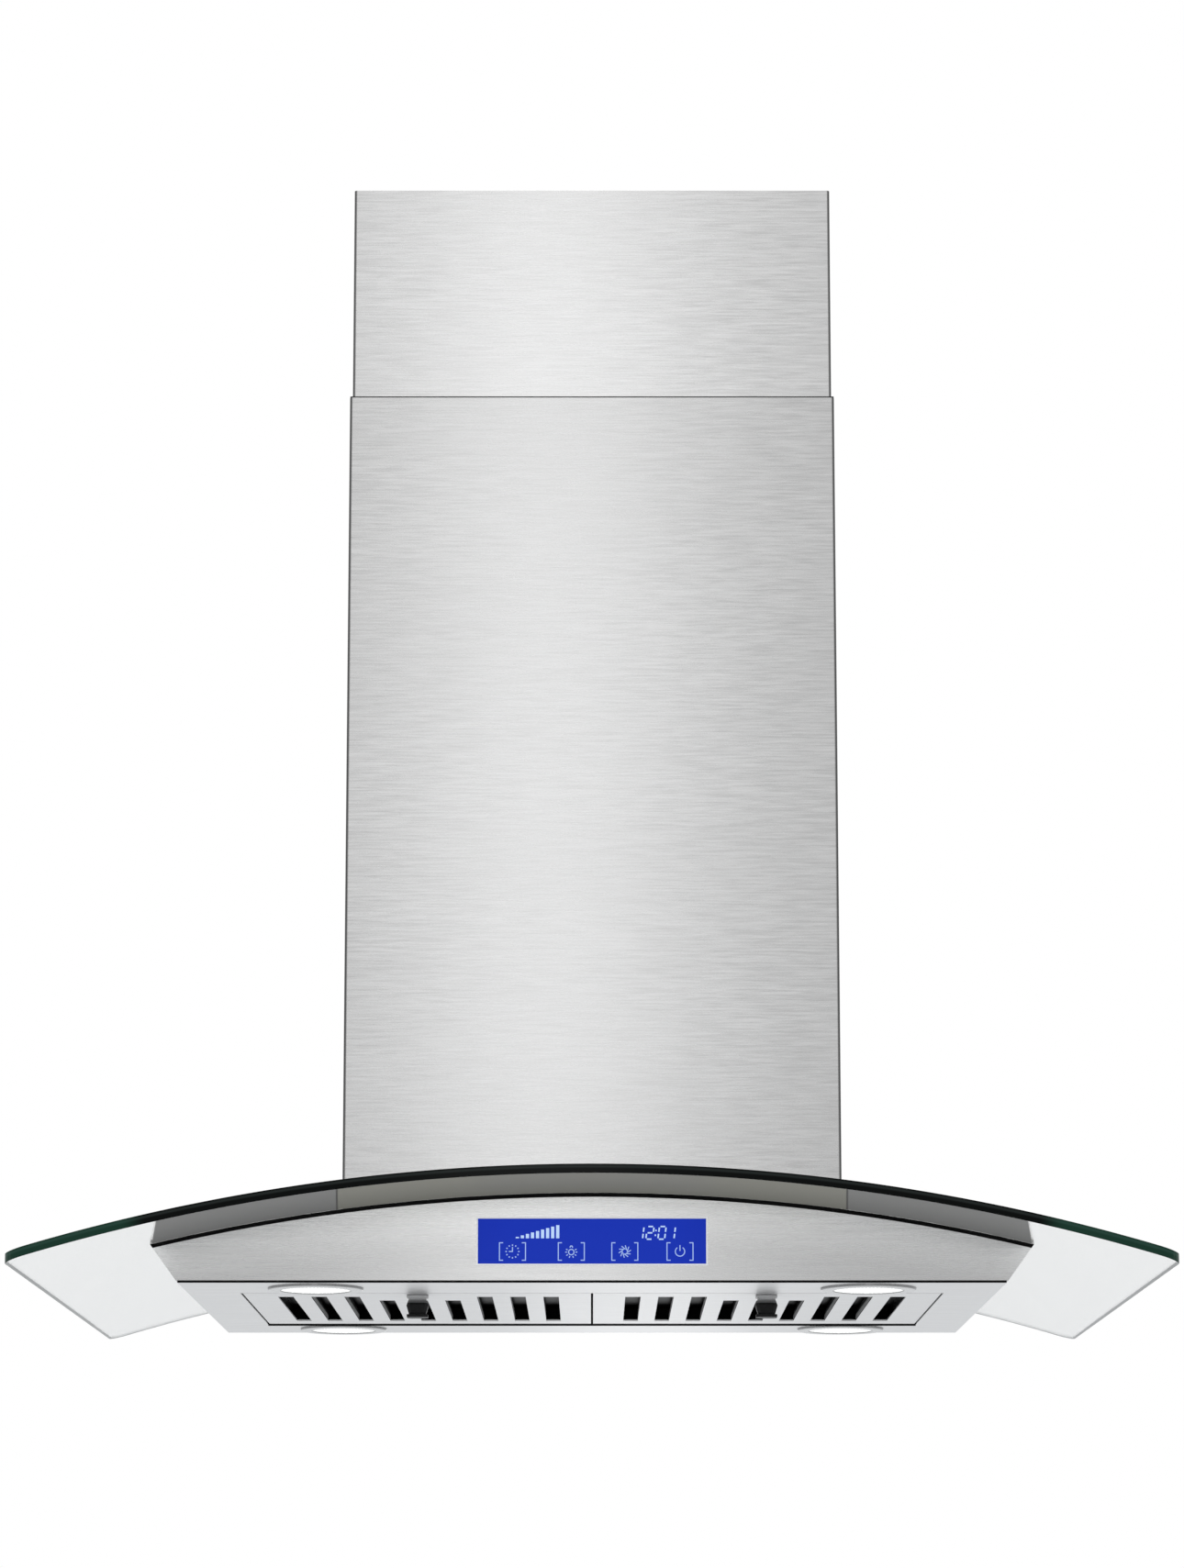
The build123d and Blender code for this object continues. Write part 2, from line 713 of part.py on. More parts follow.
# Motor shaft: runs in the motor and carries the fan wheel
with BuildPart() as motor_shaft:
    with BuildSketch(blower_plane(motor_rear_x - shaft_tail)):
        Circle(shaft_radius)
    extrude(amount=hub_length + 3 * shaft_tail - motor_rear_x)
motor_shaft.part.label = "motor_shaft"
export_step(motor_shaft.part, "parts/motor_shaft.step")

# Fan nut: clamps the hub on the shaft
with BuildPart() as fan_nut:
    with BuildSketch(blower_plane(hub_length)):
        RegularPolygon(2 * shaft_radius, 6)
        Circle(shaft_radius, mode=Mode.SUBTRACT)
    extrude(amount=shaft_tail)
fan_nut.part.label = "fan_nut"
export_step(fan_nut.part, "parts/fan_nut.step")

# Outlet adapter: a sheet transition from the square outlet to the round collar
outlet_depth = scroll_radius + 3 * scroll_step
outlet_y = outlet_depth / 2 - scroll_step / 2
with BuildPart() as outlet_adapter:
    with BuildSketch(Plane.XY.offset(adapter_low_z)):
        with Locations((0, outlet_y)):
            Rectangle(2 * (scroll_half + scroll_wall), outlet_depth + 2 * scroll_wall)
    with BuildSketch(Plane.XY.offset(box_ceiling_z)):
        Circle(collar_bore + scroll_wall)
    loft()
    with BuildSketch(Plane.XY.offset(adapter_low_z)):
        with Locations((0, outlet_y)):
            Rectangle(2 * scroll_half, outlet_depth)
    with BuildSketch(Plane.XY.offset(box_ceiling_z)):
        Circle(collar_bore)
    loft(mode=Mode.SUBTRACT)
outlet_adapter.part.label = "outlet_adapter"
export_step(outlet_adapter.part, "parts/outlet_adapter.step")

# Collar flange: a flat ring on the air box that carries the duct collar
with BuildPart() as collar_flange:
    with BuildSketch(Plane.XY.offset(box_top_z)):
        Circle(collar_radius + collar_flange_width)
        Circle(collar_bore, mode=Mode.SUBTRACT)
    extrude(amount=collar_wall)
collar_flange.part.label = "collar_flange"
export_step(collar_flange.part, "parts/collar_flange.step")

# Duct collar: a short tube for the duct, with a stop for the damper flaps inside
damper_stop_z = damper_z - damper_sheet / 2 - damper_stop_gap
with BuildPart() as duct_collar:
    with BuildSketch(Plane.XY.offset(box_top_z + collar_wall)):
        Circle(collar_radius)
        Circle(collar_bore, mode=Mode.SUBTRACT)
    extrude(amount=collar_length - collar_wall)
    with BuildSketch(Plane.XY.offset(damper_stop_z)):
        Circle(collar_bore + collar_wall / 2)
        Circle(collar_bore - damper_stop, mode=Mode.SUBTRACT)
        Rectangle(damper_pin_spacing + 4 * damper_knuckle_radius, 2 * collar_radius, mode=Mode.SUBTRACT)
    extrude(amount=-collar_wall)
    with BuildSketch(Plane.XZ):
        with Locations((0, damper_z)):
            with GridLocations(damper_pin_spacing, 0, 2, 1):
                Circle(damper_pin_radius)
    extrude(amount=collar_radius, both=True, mode=Mode.SUBTRACT)
duct_collar.part.label = "duct_collar"
export_step(duct_collar.part, "parts/duct_collar.step")

# Damper pins: two cross pins held in the wall of the collar
with BuildPart() as damper_pins:
    with BuildSketch(Plane.XZ):
        with Locations((0, damper_z)):
            with GridLocations(damper_pin_spacing, 0, 2, 1):
                Circle(damper_pin_radius)
    extrude(amount=collar_radius - damper_pin_inset, both=True)
damper_pins.part.label = "damper_pins"
export_step(damper_pins.part, "parts/damper_pins.step")

# Damper flaps: two half discs that swing up on the pins when the fan blows
flap_radius = collar_bore - damper_gap
knuckle_edge = damper_pin_spacing / 2 + damper_knuckle_radius
knuckle_half = math.sqrt(flap_radius ** 2 - knuckle_edge ** 2) - damper_gap
for name, side in (("left", -1), ("right", 1)):
    with BuildPart() as damper_flap:
        with BuildSketch(Plane.XY.offset(damper_z - damper_sheet / 2)):
            Circle(flap_radius)
            with Locations((side * (damper_pin_spacing / 2 - flap_radius), 0)):
                Rectangle(2 * flap_radius, 2 * flap_radius, mode=Mode.SUBTRACT)
        extrude(amount=damper_sheet)
        with BuildSketch(Plane.XZ):
            with Locations((side * damper_pin_spacing / 2, damper_z)):
                Circle(damper_knuckle_radius)
        extrude(amount=knuckle_half, both=True)
        with BuildSketch(Plane.XZ):
            with Locations((side * damper_pin_spacing / 2, damper_z)):
                Circle(damper_pin_radius + damper_pin_clearance)
        extrude(amount=collar_radius, both=True, mode=Mode.SUBTRACT)
    damper_flap.part.label = f"damper_flap_{name}"
    export_step(damper_flap.part, f"parts/damper_flap_{name}.step")

# Cord gland: a bush in the top of the air box for the supply lead
with BuildPart() as cord_gland:
    with BuildSketch(Plane.XY.offset(box_ceiling_z - gland_shank)):
        with Locations((gland_x, gland_y)):
            Circle(gland_radius)
    extrude(amount=gland_height)
    with BuildSketch(Plane.XY.offset(box_top_z)):
        with Locations((gland_x, gland_y)):
            RegularPolygon(gland_collar, 6)
    extrude(amount=gland_nut)
    with BuildSketch(Plane.XY.offset(box_ceiling_z - gland_shank)):
        with Locations((gland_x, gland_y)):
            Circle(gland_bore)
    extrude(amount=gland_height, mode=Mode.SUBTRACT)
cord_gland.part.label = "cord_gland"
export_step(cord_gland.part, "parts/cord_gland.step")

# Glass canopy: one sheet bent to an arc, with a cut-out for the air box
with BuildPart() as glass_canopy:
    with BuildSketch(Plane.XZ):
        with Locations((0, arc_z)):
            Circle(glass_top_radius)
            Circle(glass_radius, mode=Mode.SUBTRACT)
        with Locations((0, glass_top_z)):
            Rectangle(glass_width, 4 * glass_rise, mode=Mode.INTERSECT)
    extrude(amount=glass_depth / 2, both=True)
    fillet(glass_canopy.edges().filter_by(Axis.Z), glass_corner)
    with BuildSketch(Plane.XY.offset(body_bottom_z)):
        RectangleRounded(box_width + 2 * glass_cutout_clearance, box_depth + 2 * glass_cutout_clearance,
                         glass_cutout_corner)
    extrude(amount=hood_height, mode=Mode.SUBTRACT)
glass_canopy.part.label = "glass_canopy"
export_step(glass_canopy.part, "parts/glass_canopy.step")

# Glass gasket: a black seal round the top of the body, under the glass
with BuildPart() as glass_gasket:
    with BuildSketch(Plane.XZ):
        add(gasket_outline)
        with Locations((0, arc_z)):
            Circle(roof_radius, mode=Mode.SUBTRACT)
    extrude(amount=body_depth / 2, both=True)
    with BuildSketch(Plane.XY.offset(body_bottom_z)):
        Rectangle(2 * (roof_half(roof_radius) - gasket_width), body_depth - 2 * gasket_width)
    extrude(amount=hood_height, mode=Mode.SUBTRACT)
glass_gasket.part.label = "glass_gasket"
export_step(glass_gasket.part, "parts/glass_gasket.step")

# Clamp pads: rubber between the clamps and the glass
with BuildPart() as clamp_pads:
    with BuildSketch(Plane.XY.offset(body_bottom_z)):
        with GridLocations(clamp_spacing, box_depth + glass_cutout_clearance + clamp_reach, 2, 2):
            Rectangle(clamp_width, clamp_reach - glass_cutout_clearance)
    extrude(amount=hood_height)
    with BuildSketch(Plane.XZ):
        with Locations((0, arc_z)):
            Circle(glass_top_radius + clamp_pad)
            Circle(glass_top_radius, mode=Mode.SUBTRACT)
    extrude(amount=box_depth, both=True, mode=Mode.INTERSECT)
clamp_pads.part.label = "clamp_pads"
export_step(clamp_pads.part, "parts/clamp_pads.step")

# Glass clamps: angles on the air box that hold the glass down at its cut-out
with BuildPart() as glass_clamps:
    with BuildSketch(Plane.XY.offset(body_bottom_z)):
        with GridLocations(clamp_spacing, box_depth + clamp_reach, 2, 2):
            Rectangle(clamp_width, clamp_reach)
    extrude(amount=glass_top_z + clamp_pad + clamp_sheet - body_bottom_z)
    with BuildSketch(Plane.XY.offset(body_bottom_z)):
        with GridLocations(clamp_spacing, box_depth + clamp_sheet, 2, 2):
            Rectangle(clamp_width, clamp_sheet)
    extrude(amount=glass_top_z + clamp_pad + clamp_height - body_bottom_z)
    with BuildSketch(Plane.XZ):
        with Locations((0, arc_z)):
            Circle(glass_top_radius + clamp_pad)
    extrude(amount=box_depth, both=True, mode=Mode.SUBTRACT)
    with BuildSketch(Plane.XZ):
        with Locations((0, clamp_screw_z)):
            with GridLocations(clamp_spacing, 0, 2, 1):
                Circle(screw_radius)
    extrude(amount=box_depth, both=True, mode=Mode.SUBTRACT)
glass_clamps.part.label = "glass_clamps"
export_step(glass_clamps.part, "parts/glass_clamps.step")

# Clamp screws: hold the clamps to the front and back of the air box
with BuildPart() as clamp_screws:
    for side in (-1, 1):
        with BuildSketch(end_plane(side, box_depth / 2 + clamp_sheet, clamp_screw_z)):
            with GridLocations(clamp_spacing, 0, 2, 1):
                Circle(screw_head_radius)
        extrude(amount=screw_head)
        with BuildSketch(end_plane(side, box_depth / 2 + clamp_sheet, clamp_screw_z)):
            with GridLocations(clamp_spacing, 0, 2, 1):
                Circle(screw_radius)
        extrude(amount=-screw_reach)
clamp_screws.part.label = "clamp_screws"
export_step(clamp_screws.part, "parts/clamp_screws.step")

# Roof plate: a curved sheet under the glass, open below the air box
with BuildPart() as roof_plate:
    with BuildSketch(Plane.XZ):
        add(panel_outline)
        with Locations((0, arc_z)):
            Circle(roof_under_radius, mode=Mode.SUBTRACT)
    extrude(amount=body_inner_half, both=True)
    with BuildSketch(Plane.XY.offset(body_bottom_z)):
        Rectangle(box_width - 2 * box_wall, box_depth - 2 * box_wall)
    extrude(amount=hood_height, mode=Mode.SUBTRACT)
roof_plate.part.label = "roof_plate"
export_step(roof_plate.part, "parts/roof_plate.step")

# Front panel: an arched sheet with a window for the display
display_z = body_bottom_z + display_lift
with BuildPart() as front_panel:
    with BuildSketch(Plane.XZ.offset(body_inner_half)):
        add(panel_outline)
        with Locations((0, display_z)):
            Rectangle(display_width, display_height, mode=Mode.SUBTRACT)
    extrude(amount=body_sheet)
front_panel.part.label = "front_panel"
export_step(front_panel.part, "parts/front_panel.step")

# Rear panel: the same arched sheet without a window
with BuildPart() as rear_panel:
    with BuildSketch(Plane.XZ.offset(-body_depth / 2)):
        add(panel_outline)
    extrude(amount=body_sheet)
rear_panel.part.label = "rear_panel"
export_step(rear_panel.part, "parts/rear_panel.step")

# Side panels: slanted sheets between the front and rear panels
for name, side in (("left", -1), ("right", 1)):
    side_outline = side_section(side)
    with BuildPart() as side_panel:
        with BuildSketch(Plane.XZ):
            add(side_outline)
        extrude(amount=body_inner_half, both=True)
    side_panel.part.label = f"side_panel_{name}"
    export_step(side_panel.part, f"parts/side_panel_{name}.step")

# Bottom panel: carries the filters in one opening and the lamps in four holes
with BuildPart() as bottom_panel:
    with BuildSketch(Plane.XY.offset(body_bottom_z)):
        Rectangle(body_bottom_width, body_depth)
        Rectangle(opening_width, opening_depth, mode=Mode.SUBTRACT)
        with GridLocations(lamp_spacing, 2 * lamp_y, 2, 2):
            Circle(lamp_hole_radius, mode=Mode.SUBTRACT)
    extrude(amount=body_sheet)
bottom_panel.part.label = "bottom_panel"
export_step(bottom_panel.part, "parts/bottom_panel.step")

# Lamp bezels: bright rings under the bottom panel
with BuildPart() as lamp_bezels:
    with BuildSketch(Plane.XY.offset(body_bottom_z)):
        with GridLocations(lamp_spacing, 2 * lamp_y, 2, 2):
            Circle(lamp_radius)
            Circle(lamp_lens_radius, mode=Mode.SUBTRACT)
    extrude(amount=-lamp_proud)
    rims = lamp_bezels.faces().filter_by(Plane.XY).group_by(Axis.Z)[0]
    chamfer([rim.outer_wire().edge() for rim in rims], lamp_proud / 2)
lamp_bezels.part.label = "lamp_bezels"
export_step(lamp_bezels.part, "parts/lamp_bezels.step")

# Lamp lenses: frosted discs inside the bezels
with BuildPart() as lamp_lenses:
    with BuildSketch(Plane.XY.offset(body_bottom_z)):
        with GridLocations(lamp_spacing, 2 * lamp_y, 2, 2):
            Circle(lamp_lens_radius)
    extrude(amount=lamp_lens_recess - lamp_proud)
lamp_lenses.part.label = "lamp_lenses"
export_step(lamp_lenses.part, "parts/lamp_lenses.step")

# Lamp cans: housings with a narrower heat sink that stand inside the body
with BuildPart() as lamp_cans:
    with BuildSketch(Plane.XY.offset(body_bottom_z)):
        with GridLocations(lamp_spacing, 2 * lamp_y, 2, 2):
            Circle(lamp_hole_radius - lamp_clearance)
    extrude(amount=lamp_can_height)
    with BuildSketch(Plane.XY.offset(body_bottom_z + lamp_can_height)):
        with GridLocations(lamp_spacing, 2 * lamp_y, 2, 2):
            Circle(lamp_sink_radius)
    extrude(amount=lamp_sink_height)
lamp_cans.part.label = "lamp_cans"
export_step(lamp_cans.part, "parts/lamp_cans.step")

# Display: a window pane in the front panel with a wider flange behind it
display_back_y = body_inner_half - display_back
with BuildPart() as display:
    with BuildSketch(Plane.XZ.offset(body_inner_half)):
        with Locations((0, display_z)):
            Rectangle(display_width - 2 * display_clearance, display_height - 2 * display_clearance)
    extrude(amount=body_sheet + display_proud)
    with BuildSketch(Plane.XZ.offset(display_back_y)):
        with Locations((0, display_z)):
            Rectangle(display_width + 2 * display_flange, display_height + 2 * display_flange)
    extrude(amount=display_back)
display.part.label = "display"
export_step(display.part, "parts/display.step")

# Control board: a circuit board on four posts behind the display
board_y = display_back_y - board_gap - board_thickness
with BuildPart() as control_board:
    with BuildSketch(Plane.XZ.offset(board_y)):
        with Locations((0, display_z)):
            Rectangle(display_width, display_height + display_flange)
    extrude(amount=board_thickness)
    with BuildSketch(Plane.XZ.offset(board_y + board_thickness)):
        with Locations((0, display_z)):
            with GridLocations(display_width - 2 * board_post_inset,
                               display_height - 2 * board_post_inset, 2, 2):
                Circle(board_post_radius)
    extrude(amount=board_gap)
control_board.part.label = "control_board"
export_step(control_board.part, "parts/control_board.step")

# Power box: an open tray for the mains board, on the bottom panel at the back
with BuildPart() as power_box:
    with BuildSketch(Plane.XY.offset(body_floor_z)):
        with Locations((0, lamp_y)):
            Rectangle(power_box_length, power_box_depth)
    extrude(amount=power_box_height)
    with BuildSketch(Plane.XY.offset(body_floor_z + power_box_wall)):
        with Locations((0, lamp_y)):
            Rectangle(power_box_length - 2 * power_box_wall, power_box_depth - 2 * power_box_wall)
    extrude(amount=power_box_height, mode=Mode.SUBTRACT)
power_box.part.label = "power_box"
export_step(power_box.part, "parts/power_box.step")

# Power box lid: closes the tray
with BuildPart() as power_box_lid:
    with BuildSketch(Plane.XY.offset(body_floor_z + power_box_height)):
        with Locations((0, lamp_y)):
            Rectangle(power_box_length, power_box_depth)
    extrude(amount=power_box_wall)
power_box_lid.part.label = "power_box_lid"
export_step(power_box_lid.part, "parts/power_box_lid.step")

# Capacitor: a can that lies beside the power box
with BuildPart() as capacitor:
    with BuildSketch(Plane.YZ.offset(power_box_length / 2)):
        with Locations((lamp_y, body_floor_z + capacitor_radius)):
            Circle(capacitor_radius)
    extrude(amount=capacitor_length)
    chamfer(capacitor.edges().filter_by(GeomType.CIRCLE), capacitor_edge)
capacitor.part.label = "capacitor"
export_step(capacitor.part, "parts/capacitor.step")

# Baffle filters, one on each side, with their latches
for name, side in (("left", -1), ("right", 1)):
    middle_x = side * filter_x
    slot_xs = [middle_x + (number - (slot_count - 1) / 2) * slot_pitch for number in range(slot_count)]
    baffle_xs = [slot_x + slot_pitch / 2 for slot_x in slot_xs[:-1]]
    short_xs = [x for x in baffle_xs if abs(x - middle_x) < tab_width / 2]
    long_xs = [x for x in baffle_xs if x not in short_xs]

    # Filter frame: a flanged tray with a slotted window, a latch tab and two hooks at the back
    with BuildPart() as filter_frame:
        with BuildSketch(Plane.XY.offset(body_bottom_z)):
            with Locations((middle_x, filter_mid_y)):
                Rectangle(filter_width, filter_depth)
                Rectangle(window_width, filter_depth - 2 * filter_end_flange, mode=Mode.SUBTRACT)
            with Locations((middle_x, window_front_y + latch_tab_depth / 2)):
                Rectangle(tab_width, latch_tab_depth)
            with Locations((middle_x, latch_y + latch_travel / 2)):
                Rectangle(latch_stem_width + 2 * latch_running_gap,
                          latch_stem_depth + latch_travel + 2 * latch_running_gap, mode=Mode.SUBTRACT)
        extrude(amount=filter_sheet)
        with BuildSketch(Plane.XY.offset(body_bottom_z)):
            with Locations((middle_x, filter_mid_y)):
                Rectangle(filter_width, filter_depth)
                Rectangle(filter_width - 2 * filter_wall, filter_depth - 2 * filter_wall, mode=Mode.SUBTRACT)
        extrude(amount=filter_height)
        with BuildSketch(Plane.XY.offset(body_bottom_z + filter_height - filter_sheet)):
            with Locations((middle_x, filter_mid_y)):
                Rectangle(filter_width, filter_depth)
                Rectangle(filter_width - 2 * filter_lip, filter_depth - 2 * filter_lip, mode=Mode.SUBTRACT)
        extrude(amount=filter_sheet)
        with BuildSketch(Plane.XY.offset(body_bottom_z + filter_sheet)):
            with Locations((middle_x, filter_front_y)):
                Rectangle(latch_tongue_width + 2 * latch_running_gap, 3 * filter_wall)
        extrude(amount=latch_tongue_sheet + 2 * latch_running_gap, mode=Mode.SUBTRACT)
        with BuildSketch(Plane.XY.offset(body_bottom_z + filter_sheet)):
            with Locations((middle_x, lug_front_y + latch_lug_sheet / 2)):
                Rectangle(latch_spring_width, latch_lug_sheet)
        extrude(amount=latch_spring_height)
        for hook_x in (middle_x - hook_spacing / 2, middle_x + hook_spacing / 2):
            with BuildSketch(Plane.YZ.offset(hook_x - hook_length / 2)):
                with Locations((filter_back_y + filter_rear_gap / 2 - filter_wall / 2, hook_z)):
                    Rectangle(filter_rear_gap + filter_wall, hook_sheet)
                with Locations((hook_y, hook_z)):
                    Circle(hook_bead_radius)
            extrude(amount=hook_length)
    filter_frame.part.label = f"filter_frame_{name}"
    export_step(filter_frame.part, f"parts/filter_frame_{name}.step")

    # Lower baffles: channels that open upwards, between the slots
    with BuildPart() as lower_baffles:
        for places, front_y in ((long_xs, window_front_y), (short_xs, tab_back_y)):
            with BuildSketch(Plane.XZ.offset(-window_back_y)):
                with Locations(*[(x, body_bottom_z + baffle_height / 2) for x in places]):
                    Rectangle(baffle_width, baffle_height)
                with Locations(*[(x, body_bottom_z + baffle_sheet + baffle_height / 2) for x in places]):
                    Rectangle(baffle_width - 2 * baffle_sheet, baffle_height, mode=Mode.SUBTRACT)
            extrude(amount=window_back_y - front_y)
    lower_baffles.part.label = f"lower_baffles_{name}"
    export_step(lower_baffles.part, f"parts/lower_baffles_{name}.step")

    # Upper baffles: channels that open downwards, over the slots
    upper_middle_z = body_bottom_z + (baffle_upper_low + baffle_upper_high) / 2
    upper_height = baffle_upper_high - baffle_upper_low
    upper_baffle_width = slot_width + 2 * baffle_overlap
    with BuildPart() as upper_baffles:
        with BuildSketch(Plane.XZ.offset(filter_wall - filter_back_y)):
            with Locations(*[(x, upper_middle_z) for x in slot_xs]):
                Rectangle(upper_baffle_width, upper_height)
            with Locations(*[(x, upper_middle_z - baffle_sheet) for x in slot_xs]):
                Rectangle(upper_baffle_width - 2 * baffle_sheet, upper_height, mode=Mode.SUBTRACT)
        extrude(amount=filter_depth - 2 * filter_wall)
    upper_baffles.part.label = f"upper_baffles_{name}"
    export_step(upper_baffles.part, f"parts/upper_baffles_{name}.step")

    # Latch: a faceted finger knob with a flange, a bulge and a foot, on a stem with a flat tongue
    knob_top_z = body_bottom_z - latch_running_gap
    knob_ends = (knob_top_z - latch_flange_sheet, knob_top_z - latch_knob_height)
    with BuildPart() as latch:
        with BuildSketch(Plane.XY.offset(tongue_z)):
            with Locations((middle_x, (tongue_front_y + tongue_back_y) / 2)):
                Rectangle(latch_tongue_width, tongue_back_y - tongue_front_y)
        extrude(amount=latch_tongue_sheet)
        with BuildSketch(Plane.XY.offset(knob_top_z)):
            with Locations((middle_x, latch_y)):
                Rectangle(latch_stem_width, latch_stem_depth)
        extrude(amount=tongue_z - knob_top_z)
        with BuildSketch(Plane.XY.offset(knob_top_z)) as knob_flange:
            with Locations((middle_x, latch_y)):
                Rectangle(latch_knob_width, latch_knob_depth)
            chamfer(knob_flange.vertices(), latch_knob_chamfer)
        extrude(amount=-latch_flange_sheet)
        for end_z in knob_ends:
            with BuildSketch(Plane.XY.offset(end_z)) as knob_waist:
                with Locations((middle_x, latch_y)):
                    Rectangle(latch_knob_waist, latch_knob_waist)
                chamfer(knob_waist.vertices(), latch_knob_chamfer)
            with BuildSketch(Plane.XY.offset(knob_top_z - latch_bulge_drop)) as knob_bulge:
                with Locations((middle_x, latch_y)):
                    Rectangle(latch_bulge_width, latch_bulge_depth)
                chamfer(knob_bulge.vertices(), latch_knob_chamfer)
            loft(ruled=True)
        with BuildSketch(Plane.XY.offset(knob_top_z - latch_knob_height)) as knob_foot:
            with Locations((middle_x, latch_y)):
                Rectangle(latch_knob_width, latch_knob_depth)
            chamfer(knob_foot.vertices(), latch_knob_chamfer)
        extrude(amount=-latch_knob_foot)
    latch.part.label = f"latch_{name}"
    export_step(latch.part, f"parts/latch_{name}.step")

    # Latch spring: a bowed leaf between the lug of the frame and the tail of the tongue
    with BuildPart() as latch_spring:
        with BuildSketch(Plane.XY.offset(body_bottom_z + filter_sheet + latch_running_gap)):
            with BuildLine():
                ThreePointArc(
                    (middle_x - latch_spring_width / 2, lug_front_y - latch_spring_wire),
                    (middle_x, tongue_back_y + latch_spring_wire),
                    (middle_x + latch_spring_width / 2, lug_front_y - latch_spring_wire),
                )
            trace(line_width=latch_spring_wire)
        extrude(amount=latch_spring_height - latch_running_gap)
    latch_spring.part.label = f"latch_spring_{name}"
    export_step(latch_spring.part, f"parts/latch_spring_{name}.step")
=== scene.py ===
# %% [markdown]
# An island range hood hangs from the ceiling over a cooker: two telescoping steel tubes, a bent sheet of
# glass, and a slim steel body with a lit display, lamps and filters. The solids come from the imported CAD
# model, so this lesson only gives them their finishes and adds what is too fine for CAD: the lit signs, the
# glass with its polished rim, lens domes, and dark seams, strips and screw crosses that stand for shade.
# Several finishes also paint light and shade into their colour. Every size is in metres.

# %% Load the frame
import math

import bmesh
import bpy
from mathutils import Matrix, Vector


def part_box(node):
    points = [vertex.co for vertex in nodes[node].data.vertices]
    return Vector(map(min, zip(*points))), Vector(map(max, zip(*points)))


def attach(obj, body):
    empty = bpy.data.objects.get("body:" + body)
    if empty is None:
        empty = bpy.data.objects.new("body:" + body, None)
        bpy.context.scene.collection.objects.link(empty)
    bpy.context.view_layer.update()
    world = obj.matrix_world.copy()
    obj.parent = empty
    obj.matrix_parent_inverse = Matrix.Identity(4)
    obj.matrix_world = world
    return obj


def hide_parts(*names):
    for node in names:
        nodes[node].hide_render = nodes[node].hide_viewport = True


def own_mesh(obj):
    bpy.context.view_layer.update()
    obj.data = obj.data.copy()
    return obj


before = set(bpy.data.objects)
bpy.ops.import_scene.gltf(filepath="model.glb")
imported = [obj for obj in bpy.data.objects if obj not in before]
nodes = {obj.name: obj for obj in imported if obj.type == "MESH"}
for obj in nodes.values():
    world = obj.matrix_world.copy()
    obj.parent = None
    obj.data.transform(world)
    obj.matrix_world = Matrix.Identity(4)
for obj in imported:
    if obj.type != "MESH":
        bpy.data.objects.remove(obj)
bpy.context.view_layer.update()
scene = bpy.context.scene
scene.view_settings.view_transform = "Standard"

# %% [markdown]
# The hood is seen from in front, from a little below its body. A long lens keeps the two tubes almost
# parallel. The camera looks up a little, and a small shift sets the rest of the framing, because a larger
# tilt would make the tubes lean together.

# %% Camera
CAMERA_PLACE = (0.0, -2.900, -1.040)
CAMERA_PITCH = 0.1610
CAMERA_LENS = 94.255
CAMERA_SENSOR = 36.0
CAMERA_SHIFT = 0.15

camera = bpy.data.objects.new("camera", bpy.data.cameras.new("camera"))
camera.location = CAMERA_PLACE
camera.rotation_euler = (math.pi / 2 + CAMERA_PITCH, 0.0, 0.0)
camera.data.lens = CAMERA_LENS
camera.data.sensor_width = CAMERA_SENSOR
camera.data.shift_y = CAMERA_SHIFT
scene.collection.objects.link(camera)
scene.camera = camera
print("camera at", CAMERA_PLACE, "lens", CAMERA_LENS)

# %% [markdown]
# Shader maths reads best as plain arithmetic. A Wire wraps one socket, and adding or multiplying wires adds
# Math nodes, so a mask on the steel is one expression instead of a web of links made by hand.

# %% Wire
class Wire:
    """One output socket of a node tree."""

    def __init__(self, tree, socket):
        self.tree = tree
        self.socket = socket

    def of(self, name):
        """Another output of the same node."""
        return Wire(self.tree, self.socket.node.outputs[name])

    def maths(self, operation, first, second=0.0):
        return self.tree.node("ShaderNodeMath", {"operation": operation}, {0: first, 1: second})

    def __add__(self, other):
        return self.maths("ADD", self, other)

    def __sub__(self, other):
        return self.maths("SUBTRACT", self, other)

    def __rsub__(self, other):
        return self.maths("SUBTRACT", other, self)

    def __mul__(self, other):
        return self.maths("MULTIPLY", self, other)

    def __truediv__(self, other):
        return self.maths("DIVIDE", self, other)

    def __rtruediv__(self, other):
        return self.maths("DIVIDE", other, self)

    def __abs__(self):
        return self.maths("ABSOLUTE", self)

    def root(self):
        return self.maths("SQRT", self)

    def least(self, other):
        return self.maths("MINIMUM", self, other)

    def most(self, other):
        return self.maths("MAXIMUM", self, other)

    def fade(self, low, high):
        """0 at low and 1 at high, with a soft change between them."""
        sockets = {"Value": self, "From Min": low, "From Max": high}
        return self.tree.node("ShaderNodeMapRange", {"interpolation_type": "SMOOTHSTEP"}, sockets)

    __radd__ = __add__
    __rmul__ = __mul__


print("wires add, subtract, multiply and divide")

# %% [markdown]
# A Tree makes every other node in one call: first the node's settings, because they can change which
# sockets it has, and then its sockets, each with a value or with a wire.

